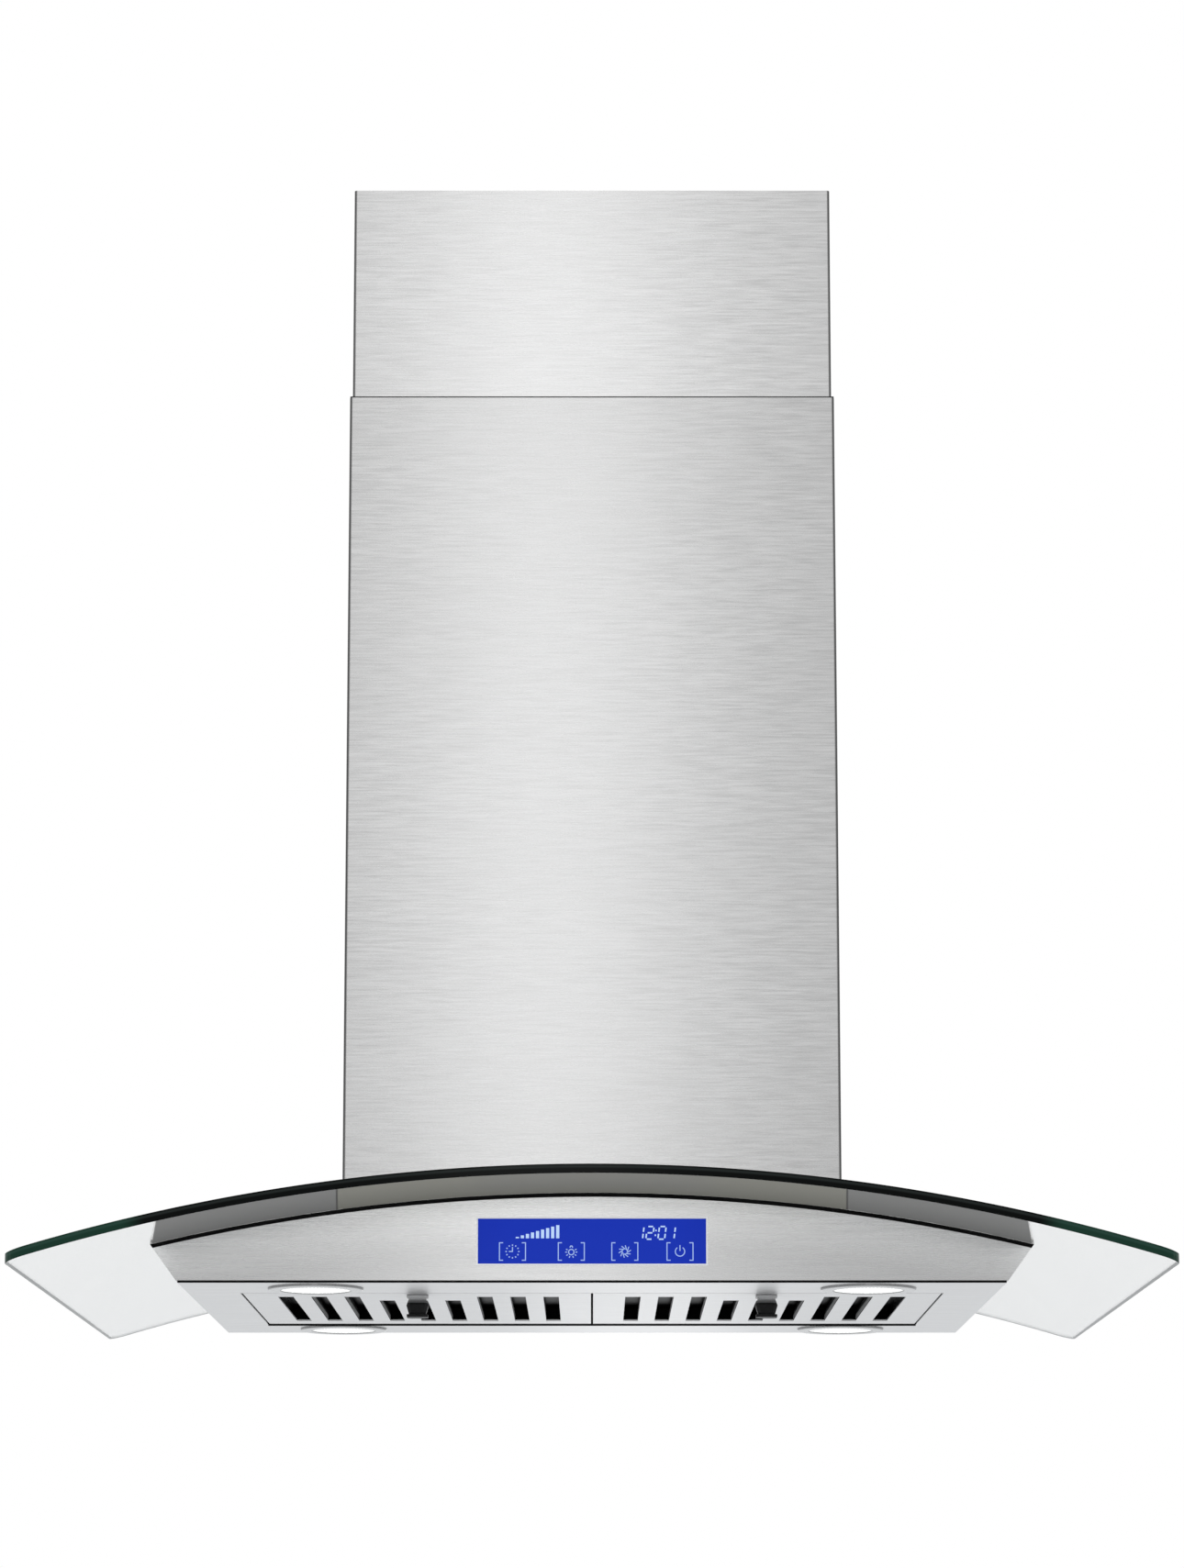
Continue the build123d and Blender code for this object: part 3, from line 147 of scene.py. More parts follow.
# %% Tree
class Tree:
    """A node tree whose nodes all come from one method."""

    def __init__(self, tree):
        self.tree = tree
        tree.nodes.clear()

    def node(self, kind, settings=None, sockets=None):
        """A new node's first output; sockets go by name, or by number where names repeat."""
        made = self.tree.nodes.new(kind)
        for name, value in (settings or {}).items():
            if name == "stops":
                self.set_stops(made.color_ramp.elements, value)
            else:
                setattr(made, name, value)
        for name, value in (sockets or {}).items():
            named = [s for s in made.inputs if s.enabled and s.name == name]
            target = made.inputs[name] if isinstance(name, int) else named[0]
            if isinstance(value, Wire):
                self.tree.links.new(value.socket, target)
            else:
                target.default_value = value
        shown = [s for s in made.outputs if s.enabled]
        return Wire(self, shown[0]) if shown else None

    def set_stops(self, elements, stops):
        while len(elements) < len(stops):
            elements.new(1.0)
        for element, (place, colour) in zip(elements, stops):
            element.position = place
            element.color = colour


print("trees ready")

# %% [markdown]
# A Finish is the tree of one material. Every finish reads Object coordinates, which stay with a piece when
# it moves, and the hood's finishes share a few nodes: a stretched noise, a ramp, a mix and a bump.

# %% Finish
class Finish(Tree):
    """A material, with the few nodes that this hood's finishes share."""

    def __init__(self, name):
        self.material = bpy.data.materials.new(name)
        self.material.use_nodes = True
        super().__init__(self.material.node_tree)
        self.place = self.node("ShaderNodeTexCoord").of("Object")

    def axes(self):
        """The place across the hood, along its depth, and up."""
        parts = self.node("ShaderNodeSeparateXYZ", {}, {"Vector": self.place})
        return parts, parts.of("Y"), parts.of("Z")

    def noise(self, scale, detail=2.0, rough=0.5):
        stretched = self.node("ShaderNodeMapping", {}, {"Vector": self.place, "Scale": scale})
        sockets = {"Vector": stretched, "Scale": 1.0, "Detail": detail, "Roughness": rough}
        return self.node("ShaderNodeTexNoise", {}, sockets)

    def ramp(self, value, *stops):
        return self.node("ShaderNodeValToRGB", {"stops": stops}, {"Fac": value})

    def mix(self, factor, first, second):
        sockets = {"Factor": factor, "A": first, "B": second}
        return self.node("ShaderNodeMix", {"data_type": "RGBA"}, sockets)

    def bump(self, height, distance, strength=1.0):
        sockets = {"Height": height, "Distance": distance, "Strength": strength}
        return self.node("ShaderNodeBump", {}, sockets)

    def principled(self, **sockets):
        named = {name.replace("_", " "): value for name, value in sockets.items()}
        return self.node("ShaderNodeBsdfPrincipled", {}, named)

    def done(self, shader):
        self.node("ShaderNodeOutputMaterial", {}, {"Surface": shader})
        return self.material


def grey(level):
    return (level, level, level, 1.0)


def tinted(colour, share=1.0):
    """A colour with full alpha, made darker or paler by a share."""
    return tuple(part * share for part in colour[:3]) + (1.0,)


print("finishes ready")

# %% [markdown]
# The studio is white all round. Camera, mirror and glass rays meet a plain white backdrop, and only the
# soft light that falls on the hood is a little cooler and dimmer, like daylight in a kitchen.

# %% Backdrop
SKY_COLOUR = (0.96, 0.98, 1.0, 1.0)
SKY_STRENGTH = 0.9

world = bpy.data.worlds.new("studio")
world.use_nodes = True
scene.world = world
backdrop = Tree(world.node_tree)
rays = backdrop.node("ShaderNodeLightPath")
seen = rays.of("Is Camera Ray").most(rays.of("Is Glossy Ray")).most(rays.of("Is Transmission Ray"))
soft = backdrop.node("ShaderNodeBackground", {}, {"Color": SKY_COLOUR, "Strength": SKY_STRENGTH})
white = backdrop.node("ShaderNodeBackground", {}, {"Color": grey(1.0), "Strength": 1.0})
both = backdrop.node("ShaderNodeMixShader", {}, {0: seen, 1: soft, 2: white})
backdrop.node("ShaderNodeOutputWorld", {}, {"Surface": both})
print("backdrop", world.name)

# %% [markdown]
# The steel gets its bright upright band from a tall soft lamp in front of it, a little to the left. Like
# lamps stand behind and beside the hood, so that every side of the tubes has its band.

# %% Strip lamps
STRIP_SIZE = (0.30, 3.2)
STRIP_POWER = 5.2
STRIP_HEIGHT = 0.15
STRIP_AWAY = 3.6
STRIP_ASIDE = 0.075


def strip_lamp(name, x, y, turn):
    """A tall soft lamp that faces the hood's axis; turn 0 shines along +Y."""
    lamp = bpy.data.lights.new(name, "AREA")
    lamp.shape = "RECTANGLE"
    lamp.size, lamp.size_y = STRIP_SIZE
    lamp.energy = STRIP_POWER
    holder = bpy.data.objects.new(name, lamp)
    holder.location = (x, y, STRIP_HEIGHT)
    holder.rotation_euler = (math.pi / 2, 0.0, turn)
    scene.collection.objects.link(holder)


strip_lamp("front_strip", -STRIP_ASIDE, -STRIP_AWAY, 0.0)
strip_lamp("back_strip", STRIP_ASIDE, STRIP_AWAY, math.pi)
strip_lamp("right_strip", STRIP_AWAY, -STRIP_ASIDE, math.pi / 2)
strip_lamp("left_strip", -STRIP_AWAY, -STRIP_ASIDE, -math.pi / 2)
print("lamps", [lamp.name for lamp in bpy.data.lights])

# %% [markdown]
# A pale floor, at kitchen height under the ceiling, lights the underside and shows in it. One large square
# is enough, and its paint has faint patches, so that it isn't perfectly even.

# %% Floor
FLOOR_HEIGHT = -2.4
FLOOR_HALF = 90.0
FLOOR_TONES = (0.86, 0.88)
FLOOR_PATCHES = (3.0, 3.0, 3.0)

floor_paint = Finish("floor_paint")
floor_stops = zip((0.3, 0.7), [grey(tone) for tone in FLOOR_TONES])
floor_tone = floor_paint.ramp(floor_paint.noise(FLOOR_PATCHES), *floor_stops)
floor_paint.done(floor_paint.principled(Base_Color=floor_tone, Roughness=0.9, Specular_IOR_Level=0.1))
floor_mesh = bpy.data.meshes.new("floor")
corners = [(x * FLOOR_HALF, y * FLOOR_HALF, FLOOR_HEIGHT) for x, y in ((-1, -1), (1, -1), (1, 1), (-1, 1))]
floor_mesh.from_pydata(corners, [], [(0, 1, 2, 3)])
floor_mesh.materials.append(floor_paint.material)
floor = bpy.data.objects.new("floor", floor_mesh)
scene.collection.objects.link(floor)
print("floor at", FLOOR_HEIGHT)

# %% [markdown]
# The outer sheets are stainless steel, brushed level all round: each scratch is a fine bright or dark hair,
# two to five centimetres long and a millimetre thick at most. A noise that is stretched along the grain
# gives the hairs their colour, gloss and height. The sheen of brushed metal spreads across the grain, so the
# shader is anisotropic. Where the tubes are bent at their corners, painted shade darkens the steel. Two more
# places are given as masks: where the steel is turned dark, for painted shade and for the seal's black lip,
# and where painted light lifts its tone because the glass overhead takes light from it.

# %% Brushed steel
HAIR_STOPS = (0.30, 0.70)
HAIR_DEPTH = 0.00002
HAIR_GLOSS = 0.14
MIST_PATCHES = (5.0, 5.0, 9.0)
MIST_FADE = (0.35, 0.75)
MIST_SHARE = 0.25
MIST_TONE = 0.96
CORNER_FADE = (0.0022, 0.0010)
CORNER_SHADE = 0.16
PAINTED_LIFT_GAIN = 1.57
DARK_TONE = 0.006


def brushed_steel(name, grain, tone, spread=(0.90, 1.08), gloss=0.27, sheen=0.7, corner=None, shade=None,
                  lift=None):
    """Steel with level hairs; corner is a bent tube's half size, whose bends get painted shade, shade is a
    mask that turns the steel dark, and lift is a mask of painted light.
    """
    steel = Finish(name)
    hairs = steel.noise(grain, detail=3.0, rough=0.65)
    mist = steel.noise(MIST_PATCHES).fade(*MIST_FADE) * MIST_SHARE

    def brushed(gain):
        return steel.ramp(hairs, *[(at, grey(tone * part * gain)) for at, part in zip(HAIR_STOPS, spread)])

    colour = steel.mix(mist, brushed(1.0), grey(tone * MIST_TONE))
    if lift:
        # Painted light: where the lift mask applies, the hairs are brightened.
        colour = steel.mix(lift(steel), colour, brushed(PAINTED_LIFT_GAIN))
    if corner:
        across, along, _ = steel.axes()
        shaded_bends = [abs(value).fade(half - CORNER_FADE[0], half - CORNER_FADE[1])
                 for value, half in zip((across, along), corner)]
        # Painted shade: the bent corners of the tubes are darkened.
        colour = steel.mix(shaded_bends[0].least(shaded_bends[1]), colour, grey(tone * CORNER_SHADE))
    if shade:
        # The mask turns the steel dark: painted shade, and on the panels the seal's black lip.
        colour = steel.mix(shade(steel), colour, grey(DARK_TONE))
    return steel.done(steel.principled(
        Base_Color=colour, Metallic=1.0, Roughness=hairs * HAIR_GLOSS + (gloss - HAIR_GLOSS / 2),
        Anisotropic=sheen, Anisotropic_Rotation=0.25, Normal=steel.bump(hairs, HAIR_DEPTH, 0.4)))


def paint(finish, *names):
    """Give these CAD nodes one finish."""
    for name in names:
        nodes[name].data.materials.clear()
        nodes[name].data.materials.append(finish)


print("brushed steel has hairs between", HAIR_STOPS)

# %% [markdown]
# Between the baffles, inside the filters' walls and behind them, the hood lies in deep shade. That could be
# left to the lamps, but the white studio would shine into every slot. So masks on Object coordinates mark
# these places for painted shade: 1 in the dark and 0 elsewhere, with a narrow soft edge.

# %% Masks for the filters
SOFT_EDGE = 0.0002
FILTER_WALL = 0.0012
FILTER_SHEET = 0.0010
FILTER_RIM = 0.0015
FILTER_GAP = 0.003
WALL_SHARES = (0.6, 0.9)
SHEET_SHARES = (1.0, 1.3)
TOPS_FADE = (0.0002, 0.0005)
CREASE_START = (0.0002, 0.0004)
CREASE_END = (0.0011, 0.0008)
DEEP_FADE = (0.0038, 0.0046)
OPENING_HALF = 0.2385
OPENING_BACK = 0.121
OPENING_SHADE_REACH = 0.0025


def shaded_under_tops(finish):
    """Painted shade below the flat tops of the upper baffles."""
    _, _, height = finish.axes()
    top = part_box("upper_baffles_right")[1].z
    return height.fade(top - TOPS_FADE[0], top - TOPS_FADE[1])


def shaded_inside_filter(finish):
    """Painted shade within the walls of the two filters, from their windows up to the tops of the baffles,
    and on their back rim.
    """
    low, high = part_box("filter_frame_right")
    across, along, height = finish.axes()
    past = [abs(abs(across) - (low.x + high.x) / 2) - (high.x - low.x) / 2,
            abs(along - (low.y + high.y) / 2) - (high.y - low.y) / 2]
    within = [value.fade(*[-FILTER_WALL * share for share in WALL_SHARES]) for value in past]
    above = height.fade(*[low.z + FILTER_SHEET * share for share in SHEET_SHARES])
    filter_back = OPENING_BACK - FILTER_GAP - FILTER_RIM
    back_rim_shade = along.fade(filter_back, filter_back + SOFT_EDGE)
    return (within[0] * within[1] * above).most(back_rim_shade) * shaded_under_tops(finish)


def baffle_fold_shade(finish):
    """Painted shade in the crease at the foot of the baffles' turned-up edges, and deep between them."""
    _, _, height = finish.axes()
    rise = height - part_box("lower_baffles_right")[0].z
    crease_shade = rise.fade(*CREASE_START) * rise.fade(*CREASE_END)
    return crease_shade.most(rise.fade(*DEEP_FADE))


def opening_gap_shade(finish):
    """Painted shadow in the gap along the back edge of the filter opening."""
    across, along, _ = finish.axes()
    near = abs(along - OPENING_BACK).fade(OPENING_SHADE_REACH + SOFT_EDGE, OPENING_SHADE_REACH)
    return near * abs(across).fade(OPENING_HALF + 2 * SOFT_EDGE, OPENING_HALF)


print("filter masks ready, opening", 2 * OPENING_HALF, "wide")

# %% [markdown]
# The panels of the body end in a black seal under the glass, which follows the circle that the glass is bent
# to. Its lip folds over their top edge, and below it the tone of the steel is lifted with painted light,
# because the glass stands in its light and shades it. Both are measured square to that circle, because a
# level band would miss the curve.

# %% Masks for the panels
GLASS_RADIUS = 1.26205
GLASS_ARC_Z = -1.97905
SEAL_THICK = 0.002
SEAL_LIP = 0.0009
PAINTED_LIFT_REACH = 0.046


def from_axis(finish):
    """Square of the distance from the axis that the glass is bent round."""
    across, _, height = finish.axes()
    rise = height - GLASS_ARC_Z
    return across * across + rise * rise


def below_seal(finish):
    """Distance below the seal under the glass, square to its curve."""
    return (GLASS_RADIUS - SEAL_THICK) - from_axis(finish).root()


def seal_lip(finish):
    """Where the seal's lip folds over the top edge of the panels."""
    return below_seal(finish).fade(SEAL_LIP + SOFT_EDGE / 2, SEAL_LIP - SOFT_EDGE / 2)


def painted_lift_under_glass(finish):
    """Painted light: from 1 at the top of the panels to 0 where the glass no longer shades them."""
    near = below_seal(finish).fade(PAINTED_LIFT_REACH, 0.0)
    return near * near


print("panel masks ready, seal", SEAL_THICK, "thick")

# %% [markdown]
# Each kind of sheet has its own grain, tone and masks. The tubes show the strongest hairs. The underside is
# brushed along its width, and it is duller than the panels. The tones differ more than the steel does,
# because each is set to how brightly its sheet is lit: the underside's paler tone and the panels' darker one
# are painted light and shade.

# %% Steel sheets
TUBE_GRAIN = (38.0, 38.0, 950.0)
TUBE_SPREAD = (0.85, 1.13)
TUBE_TONES = {"upper": 0.515, "lower": 0.465}
PANEL_GRAIN = (19.0, 19.0, 950.0)
PANEL_SPREAD = (0.95, 1.03)
PANEL_TONE = 0.45
UNDERSIDE_GRAIN = (26.0, 950.0, 950.0)
UNDERSIDE_GLOSS = 0.42
UNDERSIDE_SHEETS = {
    "underside_steel": (0.79, opening_gap_shade, ["bottom_panel"]),
    "filter_steel": (0.78, shaded_inside_filter, ["filter_frame_left", "filter_frame_right"]),
    "baffle_steel": (0.78, baffle_fold_shade, ["lower_baffles_left", "lower_baffles_right"]),
    "baffle_top_steel": (0.70, shaded_under_tops, ["upper_baffles_left", "upper_baffles_right"]),
}


def half_size(name):
    low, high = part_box(name)
    return (high.x - low.x) / 2, (high.y - low.y) / 2


for tube, tone in TUBE_TONES.items():
    corner = half_size(f"{tube}_chimney")
    tube_steel = brushed_steel(f"{tube}_tube_steel", TUBE_GRAIN, tone, TUBE_SPREAD, corner=corner)
    paint(tube_steel, f"{tube}_chimney")
paint(brushed_steel("body_steel", PANEL_GRAIN, PANEL_TONE, PANEL_SPREAD, shade=seal_lip, lift=painted_lift_under_glass),
      "front_panel", "rear_panel", "side_panel_left", "side_panel_right")
paint(brushed_steel("roof_steel", PANEL_GRAIN, PANEL_TONE), "roof_plate")
# The masks on these sheets paint shade into them.
for name, (tone, mask, sheets) in UNDERSIDE_SHEETS.items():
    dull_steel = brushed_steel(name, UNDERSIDE_GRAIN, tone, gloss=UNDERSIDE_GLOSS, sheen=0.0, shade=mask)
    paint(dull_steel, *sheets)
print("steel on", [m.name for m in bpy.data.materials if m.name.endswith("steel")])

# %% [markdown]
# Inside, the sheets are galvanised: zinc freezes in flat crystals of about a centimetre, each with its own
# shade and gloss. Voronoi cells draw them, and two cell sizes keep the pattern from looking like tiles. Zinc
# plate on screws and the fan's aluminium are the same with finer cells.

# %% Galvanised sheet, zinc and aluminium
CRYSTAL_STOPS = (0.1, 0.9)
CRYSTAL_SHARES = (0.7, 0.3)
CRYSTAL_DEPTH = 0.00003
FINE_CELLS = 2.7


def crystal_metal(name, cells, tones, gloss, tint=(1.0, 1.0, 1.0)):
    """A metal with flat crystals, cells to the metre, between two tones."""
    metal = Finish(name)
    stretched = metal.node("ShaderNodeMapping", {}, {"Vector": metal.place, "Scale": (cells,) * 3})
    large = metal.node("ShaderNodeTexVoronoi", {}, {"Vector": stretched, "Scale": 1.0})
    fine = metal.node("ShaderNodeTexVoronoi", {}, {"Vector": stretched, "Scale": FINE_CELLS})
    shade = metal.node("ShaderNodeSeparateColor", {}, {"Color": large.of("Color")})
    glint = metal.node("ShaderNodeSeparateColor", {}, {"Color": fine.of("Color")})
    crystals = shade * CRYSTAL_SHARES[0] + glint * CRYSTAL_SHARES[1]
    stops = [(at, tinted(tint, tone)) for at, tone in zip(CRYSTAL_STOPS, tones)]
    return metal.done(metal.principled(
        Base_Color=metal.ramp(crystals, *stops), Metallic=1.0, Roughness=crystals * 0.2 + gloss,
        Normal=metal.bump(crystals, CRYSTAL_DEPTH, 0.3)))


galvanised = crystal_metal("galvanised_sheet", 70.0, (0.40, 0.62), 0.32, (0.97, 0.99, 1.0))
paint(galvanised, "ceiling_plate", "upper_angles", "lower_angles", "chimney_brackets", "air_box_front",
      "air_box_rear", "air_box_left", "air_box_right", "air_box_top", "blower_housing", "motor_bracket",
      "outlet_adapter", "glass_clamps")
zinc_plate = crystal_metal("zinc_plate", 900.0, (0.55, 0.70), 0.25, (1.0, 0.98, 0.92))
paint(zinc_plate, "frame_bolts", "leg_screws", "chimney_screws", "clamp_screws", "fan_nut", "motor_shaft",
      "damper_pins", "latch_spring_left", "latch_spring_right")
paint(crystal_metal("fan_sheet", 300.0, (0.66, 0.78), 0.28), "impeller", "lamp_cans")
print("crystals on", galvanised.name, "and", zinc_plate.name)

# %% [markdown]
# Rubber, moulded plastic and enamel are one family: a dark or coloured skin with a fine grain that breaks
# up the gloss. Two noises, one for the moulding grain and one for slow changes of shade, are enough.

# %% Rubber, plastic, enamel and board
SKIN_PATCHES = (14.0, 14.0, 14.0)
PALE_GAIN = 1.25
PALE_LIFT = 0.004


def skin(name, colour, gloss, grain, depth, shine=0.5):
    """A non-metal with a moulded grain, grain bumps to the metre."""
    shell = Finish(name)
    pores = shell.noise((grain,) * 3)
    clouds = shell.noise(SKIN_PATCHES)
    pale = tuple(min(1.0, part * PALE_GAIN + PALE_LIFT) for part in colour)
    tone = shell.ramp(clouds * 0.5 + pores * 0.5, (0.3, tinted(colour)), (0.7, tinted(pale)))
    return shell.done(shell.principled(
        Base_Color=tone, Roughness=pores * 0.2 + gloss, Specular_IOR_Level=shine,
        Normal=shell.bump(pores, depth, 0.5)))


seal_rubber = skin("seal_rubber", (0.003, 0.003, 0.003), 0.7, 2200.0, 0.00005, 0.03)
paint(seal_rubber, "glass_gasket", "clamp_pads")
black_plastic = skin("black_plastic", (0.02, 0.02, 0.021), 0.35, 1500.0, 0.00004)
paint(black_plastic, "duct_collar", "collar_flange", "damper_flap_left", "damper_flap_right", "cord_gland",
      "inlet_rings", "power_box", "power_box_lid")
paint(skin("motor_enamel", (0.05, 0.055, 0.06), 0.30, 700.0, 0.00005), "motor")
paint(skin("capacitor_sleeve", (0.55, 0.56, 0.55), 0.40, 900.0, 0.00003), "capacitor")
paint(skin("board_lacquer", (0.015, 0.10, 0.04), 0.30, 500.0, 0.00003), "control_board")
print("skins on", seal_rubber.name, "and", black_plastic.name)

# %% [markdown]
# The lamps are frosted lenses that glow evenly, a little dimmer towards their rims, in turned chrome bezels
# with painted shade at their edges. A lens makes its own light, so its colour goes into the emission. The
# four lamps mirror each other, so one distance from the nearest lamp's axis serves them all.

# %% Lamp lenses and bezels
LAMP_PLACE = (0.185, 0.1575)
LENS_RADIUS = 0.0235
LENS_EVEN = 0.65
BEZEL_RADIUS = 0.032
BEZEL_RIM_SHADE = (0.0008, 0.0004)
BEZEL_STEP_SHADE = (0.0007, 0.0003)


def from_lamp(finish):
    """Distance from the nearest of the four lamps' axes."""
    across, along, _ = finish.axes()
    sides = [abs(value) - middle for value, middle in zip((across, along), LAMP_PLACE)]
    return (sides[0] * sides[0] + sides[1] * sides[1]).root()


def lens_glow():
    """A frosted lens lit from behind."""
    glow = Finish("lens_glow")
    rim = from_lamp(glow).fade(LENS_RADIUS * LENS_EVEN, LENS_RADIUS)
    lit = glow.mix(rim, (1.0, 1.0, 0.98, 1.0), (0.80, 0.81, 0.80, 1.0))
    return glow.done(glow.principled(
        Base_Color=grey(0.8), Roughness=0.4, Specular_IOR_Level=0.1, Emission_Color=lit,
        Emission_Strength=0.75))


def bezel_chrome():
    """Turned chrome with painted shade at its rim and where it steps down to the lens."""
    bezel = Finish("bezel_chrome")
    outward = from_lamp(bezel)
    turned = bezel.noise((900.0, 900.0, 900.0))
    rim = outward.fade(*[BEZEL_RADIUS - inset for inset in BEZEL_RIM_SHADE])
    step = outward.fade(*[LENS_RADIUS + offset for offset in BEZEL_STEP_SHADE])
    chrome = bezel.ramp(turned, (0.3, grey(0.66)), (0.7, grey(0.72)))
    # Painted shade: the rim and the step down to the lens are darkened.
    tone = bezel.mix(rim.most(step), chrome, grey(0.28))
    return bezel.done(bezel.principled(Base_Color=tone, Metallic=1.0, Roughness=turned * 0.1 + 0.22))


paint(lens_glow(), "lamp_lenses")
paint(bezel_chrome(), "lamp_bezels")
print("lamps at", LAMP_PLACE)

# %% [markdown]
# The display is a backlit blue pane in the window of the front panel, held by a flange behind the panel. The
# backlight falls off a little towards the pane's ends, and a fine weave breaks it up.

# %% Display pane
PANE_FLANGE = 0.003
PANE_EVEN = 0.05

pane_low, pane_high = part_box("display")
PANE_Z = (pane_low.z + pane_high.z) / 2
PANE_HALF = (pane_high.x - PANE_FLANGE, (pane_high.z - pane_low.z) / 2 - PANE_FLANGE)


def display_backlight():
    """Deep blue light, dimmer towards the ends of the pane."""
    backlight = Finish("display_backlight")
    across, _, _ = backlight.axes()
    weave = backlight.noise((4000.0, 1.0, 4000.0))
    dimmed = abs(across).fade(PANE_EVEN, PANE_HALF[0]) * 0.25 + weave * 0.12
    blue = backlight.mix(dimmed, (0.0055, 0.027, 0.42, 1.0), (0.004, 0.018, 0.33, 1.0))
    return backlight.done(backlight.principled(
        Base_Color=(0.003, 0.01, 0.08, 1.0), Roughness=0.25, Specular_IOR_Level=0.06,
        Emission_Color=blue, Emission_Strength=0.9))


paint(display_backlight(), "display")
print("display pane", [round(2 * half, 4) for half in PANE_HALF], "at height", round(PANE_Z, 4))

# %% [markdown]
# The canopy is one sheet of 6 mm glass, bent to a large circle, with rounded corners and a cut-out for the
# air box. The CAD solid is made of flat facets, which would break up its reflections. So a flat sheet with
# many columns is drawn in plan, given its thickness and a polished rim, and then bent onto the circle.

# %% Flat glass
GLASS_CORNER = 0.014
GLASS_CUT = (0.154, 0.125)
MIDDLE_COLUMNS = 48
WING_COLUMNS = 30
CORNER_COLUMNS = 8
CUT_ROW = 1
TINY = 1e-6

glass_low, glass_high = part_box("glass_canopy")
glass_half = (glass_high.x, glass_high.y)


def glass_columns():
    """Places of the sheet's columns across the hood, closer together in the rounded corners."""
    flat = glass_half[0] - GLASS_CORNER
    turns = [math.pi / 2 * step / CORNER_COLUMNS for step in range(1, CORNER_COLUMNS + 1)]
    wing = (flat - GLASS_CUT[0]) / WING_COLUMNS
    right = [GLASS_CUT[0] + wing * step for step in range(WING_COLUMNS + 1)]
    right += [flat + GLASS_CORNER * math.sin(turn) for turn in turns]
    middle = [GLASS_CUT[0] * (2 * step / MIDDLE_COLUMNS - 1) for step in range(1, MIDDLE_COLUMNS)]
    return [-x for x in reversed(right)] + middle + right


def edge_place(x):
    """Half depth of the sheet at a column: less in the rounded corners."""
    past = max(0.0, abs(x) - (glass_half[0] - GLASS_CORNER))
    return glass_half[1] - GLASS_CORNER + math.sqrt(max(0.0, GLASS_CORNER ** 2 - past ** 2))


sheet = bmesh.new()
columns = []
for x in glass_columns():
    rows = (-edge_place(x), -GLASS_CUT[1], GLASS_CUT[1], edge_place(x))
    columns.append([sheet.verts.new((x, y, 0.0)) for y in rows])
for left, right in zip(columns, columns[1:]):
    inside = max(abs(left[0].co.x), abs(right[0].co.x)) <= GLASS_CUT[0] + TINY
    for row in range(len(left) - 1):
        if not (inside and row == CUT_ROW):
            sheet.faces.new((left[row], right[row], right[row + 1], left[row + 1]))
glass_mesh = bpy.data.meshes.new("glass_sheet")
sheet.to_mesh(glass_mesh)
sheet.free()
print("glass sheet", len(columns), "columns")

# %% [markdown]
# Clear float glass is a little green. Where the sheet stands out in front of the steel body it is seen
# almost along its surface, so it mirrors the room below as an even dark band, and the tube as a paler one
# between two thin lines. That reflection is painted: its tones are drawn by place, and mixed in by the angle
# of view, as on all glass, only stronger. Its tone goes into the emission, because a mirror isn't lit by
# what stands beside it.

# %% Clear glass
LIP_REFLECTION_TONES = ((0.150, 0.152, 0.150), (0.165, 0.165, 0.145))
LIP_FADE = (0.84, 1.18)
LIP_EDGE = 0.0005
LIP_LEVELS = (0.004, 0.002)
BODY_TAPER = 0.13
TUBE_TAPER = 0.06
TUBE_EDGE = 0.0003
TUBE_LINE = (0.0009, 0.0003)
GRAZING = (0.66, 0.84)

body_low, body_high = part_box("front_panel")
tube_half = half_size("lower_chimney")
lip_depth = body_low.y + glass_half[1]


def painted_reflection_tone(glass, across, forward):
    """The painted reflection on the lip: the dark room, and the tube between two thin lines."""
    past_tube = abs(across) - (tube_half[0] - forward * TUBE_TAPER)
    behind_tube = past_tube.fade(TUBE_EDGE, -TUBE_EDGE)
    near, far = [glass.mix(behind_tube, *[tinted(tone, share) for tone in LIP_REFLECTION_TONES]) for share in LIP_FADE]
    tone = glass.mix(forward.fade(0.0, lip_depth), near, far)
    return glass.mix(abs(past_tube).fade(*TUBE_LINE) * 0.8, tone, grey(0.03))


def clear_glass():
    """Clear glass whose underside carries a painted dark reflection in front of the body."""
    glass = Finish("clear_glass")
    across, along, _ = glass.axes()
    film = glass.noise((8.0, 8.0, 8.0))
    clear = glass.principled(
        Base_Color=(0.985, 0.990, 0.980, 1.0), Roughness=film * 0.02, IOR=1.5, Transmission_Weight=1.0)
    forward = body_low.y - along
    # Painted reflection: the band and the tube's lines glow from the emission.
    painted_mirror = glass.principled(
        Base_Color=grey(0.02), Roughness=0.6, Specular_IOR_Level=0.05,
        Emission_Color=painted_reflection_tone(glass, across, forward), Emission_Strength=0.9)
    past_body = abs(across) - (body_high.x - forward * BODY_TAPER)
    underside = from_axis(glass).fade(*[(GLASS_RADIUS + level) ** 2 for level in LIP_LEVELS])
    lip = past_body.fade(LIP_EDGE, -LIP_EDGE) * forward.fade(0.0, LIP_EDGE) * underside
    grazing = glass.node("ShaderNodeLayerWeight", {}, {"Blend": 0.5}).of("Facing").fade(*GRAZING)
    return glass.done(glass.node("ShaderNodeMixShader", {}, {0: lip * grazing, 1: clear, 2: painted_mirror}))


canopy_glass = clear_glass()
print(canopy_glass.name, "with a lip of", round(lip_depth, 4))

# %% [markdown]
# Seen through its long polished rim, the same glass is black in front of the body and bottle green along the
# wings, with a paler stripe in the upper half of its thickness. Real refraction would need a far longer
# render, so the rim is painted with these tones instead, and the stripe is a painted highlight.

# %% Polished rim
GLASS_THICK = 0.006
HIGHLIGHT_SHARES = (0.45, 0.70, 0.95)
TIP_FADE = (-0.008, 0.010)


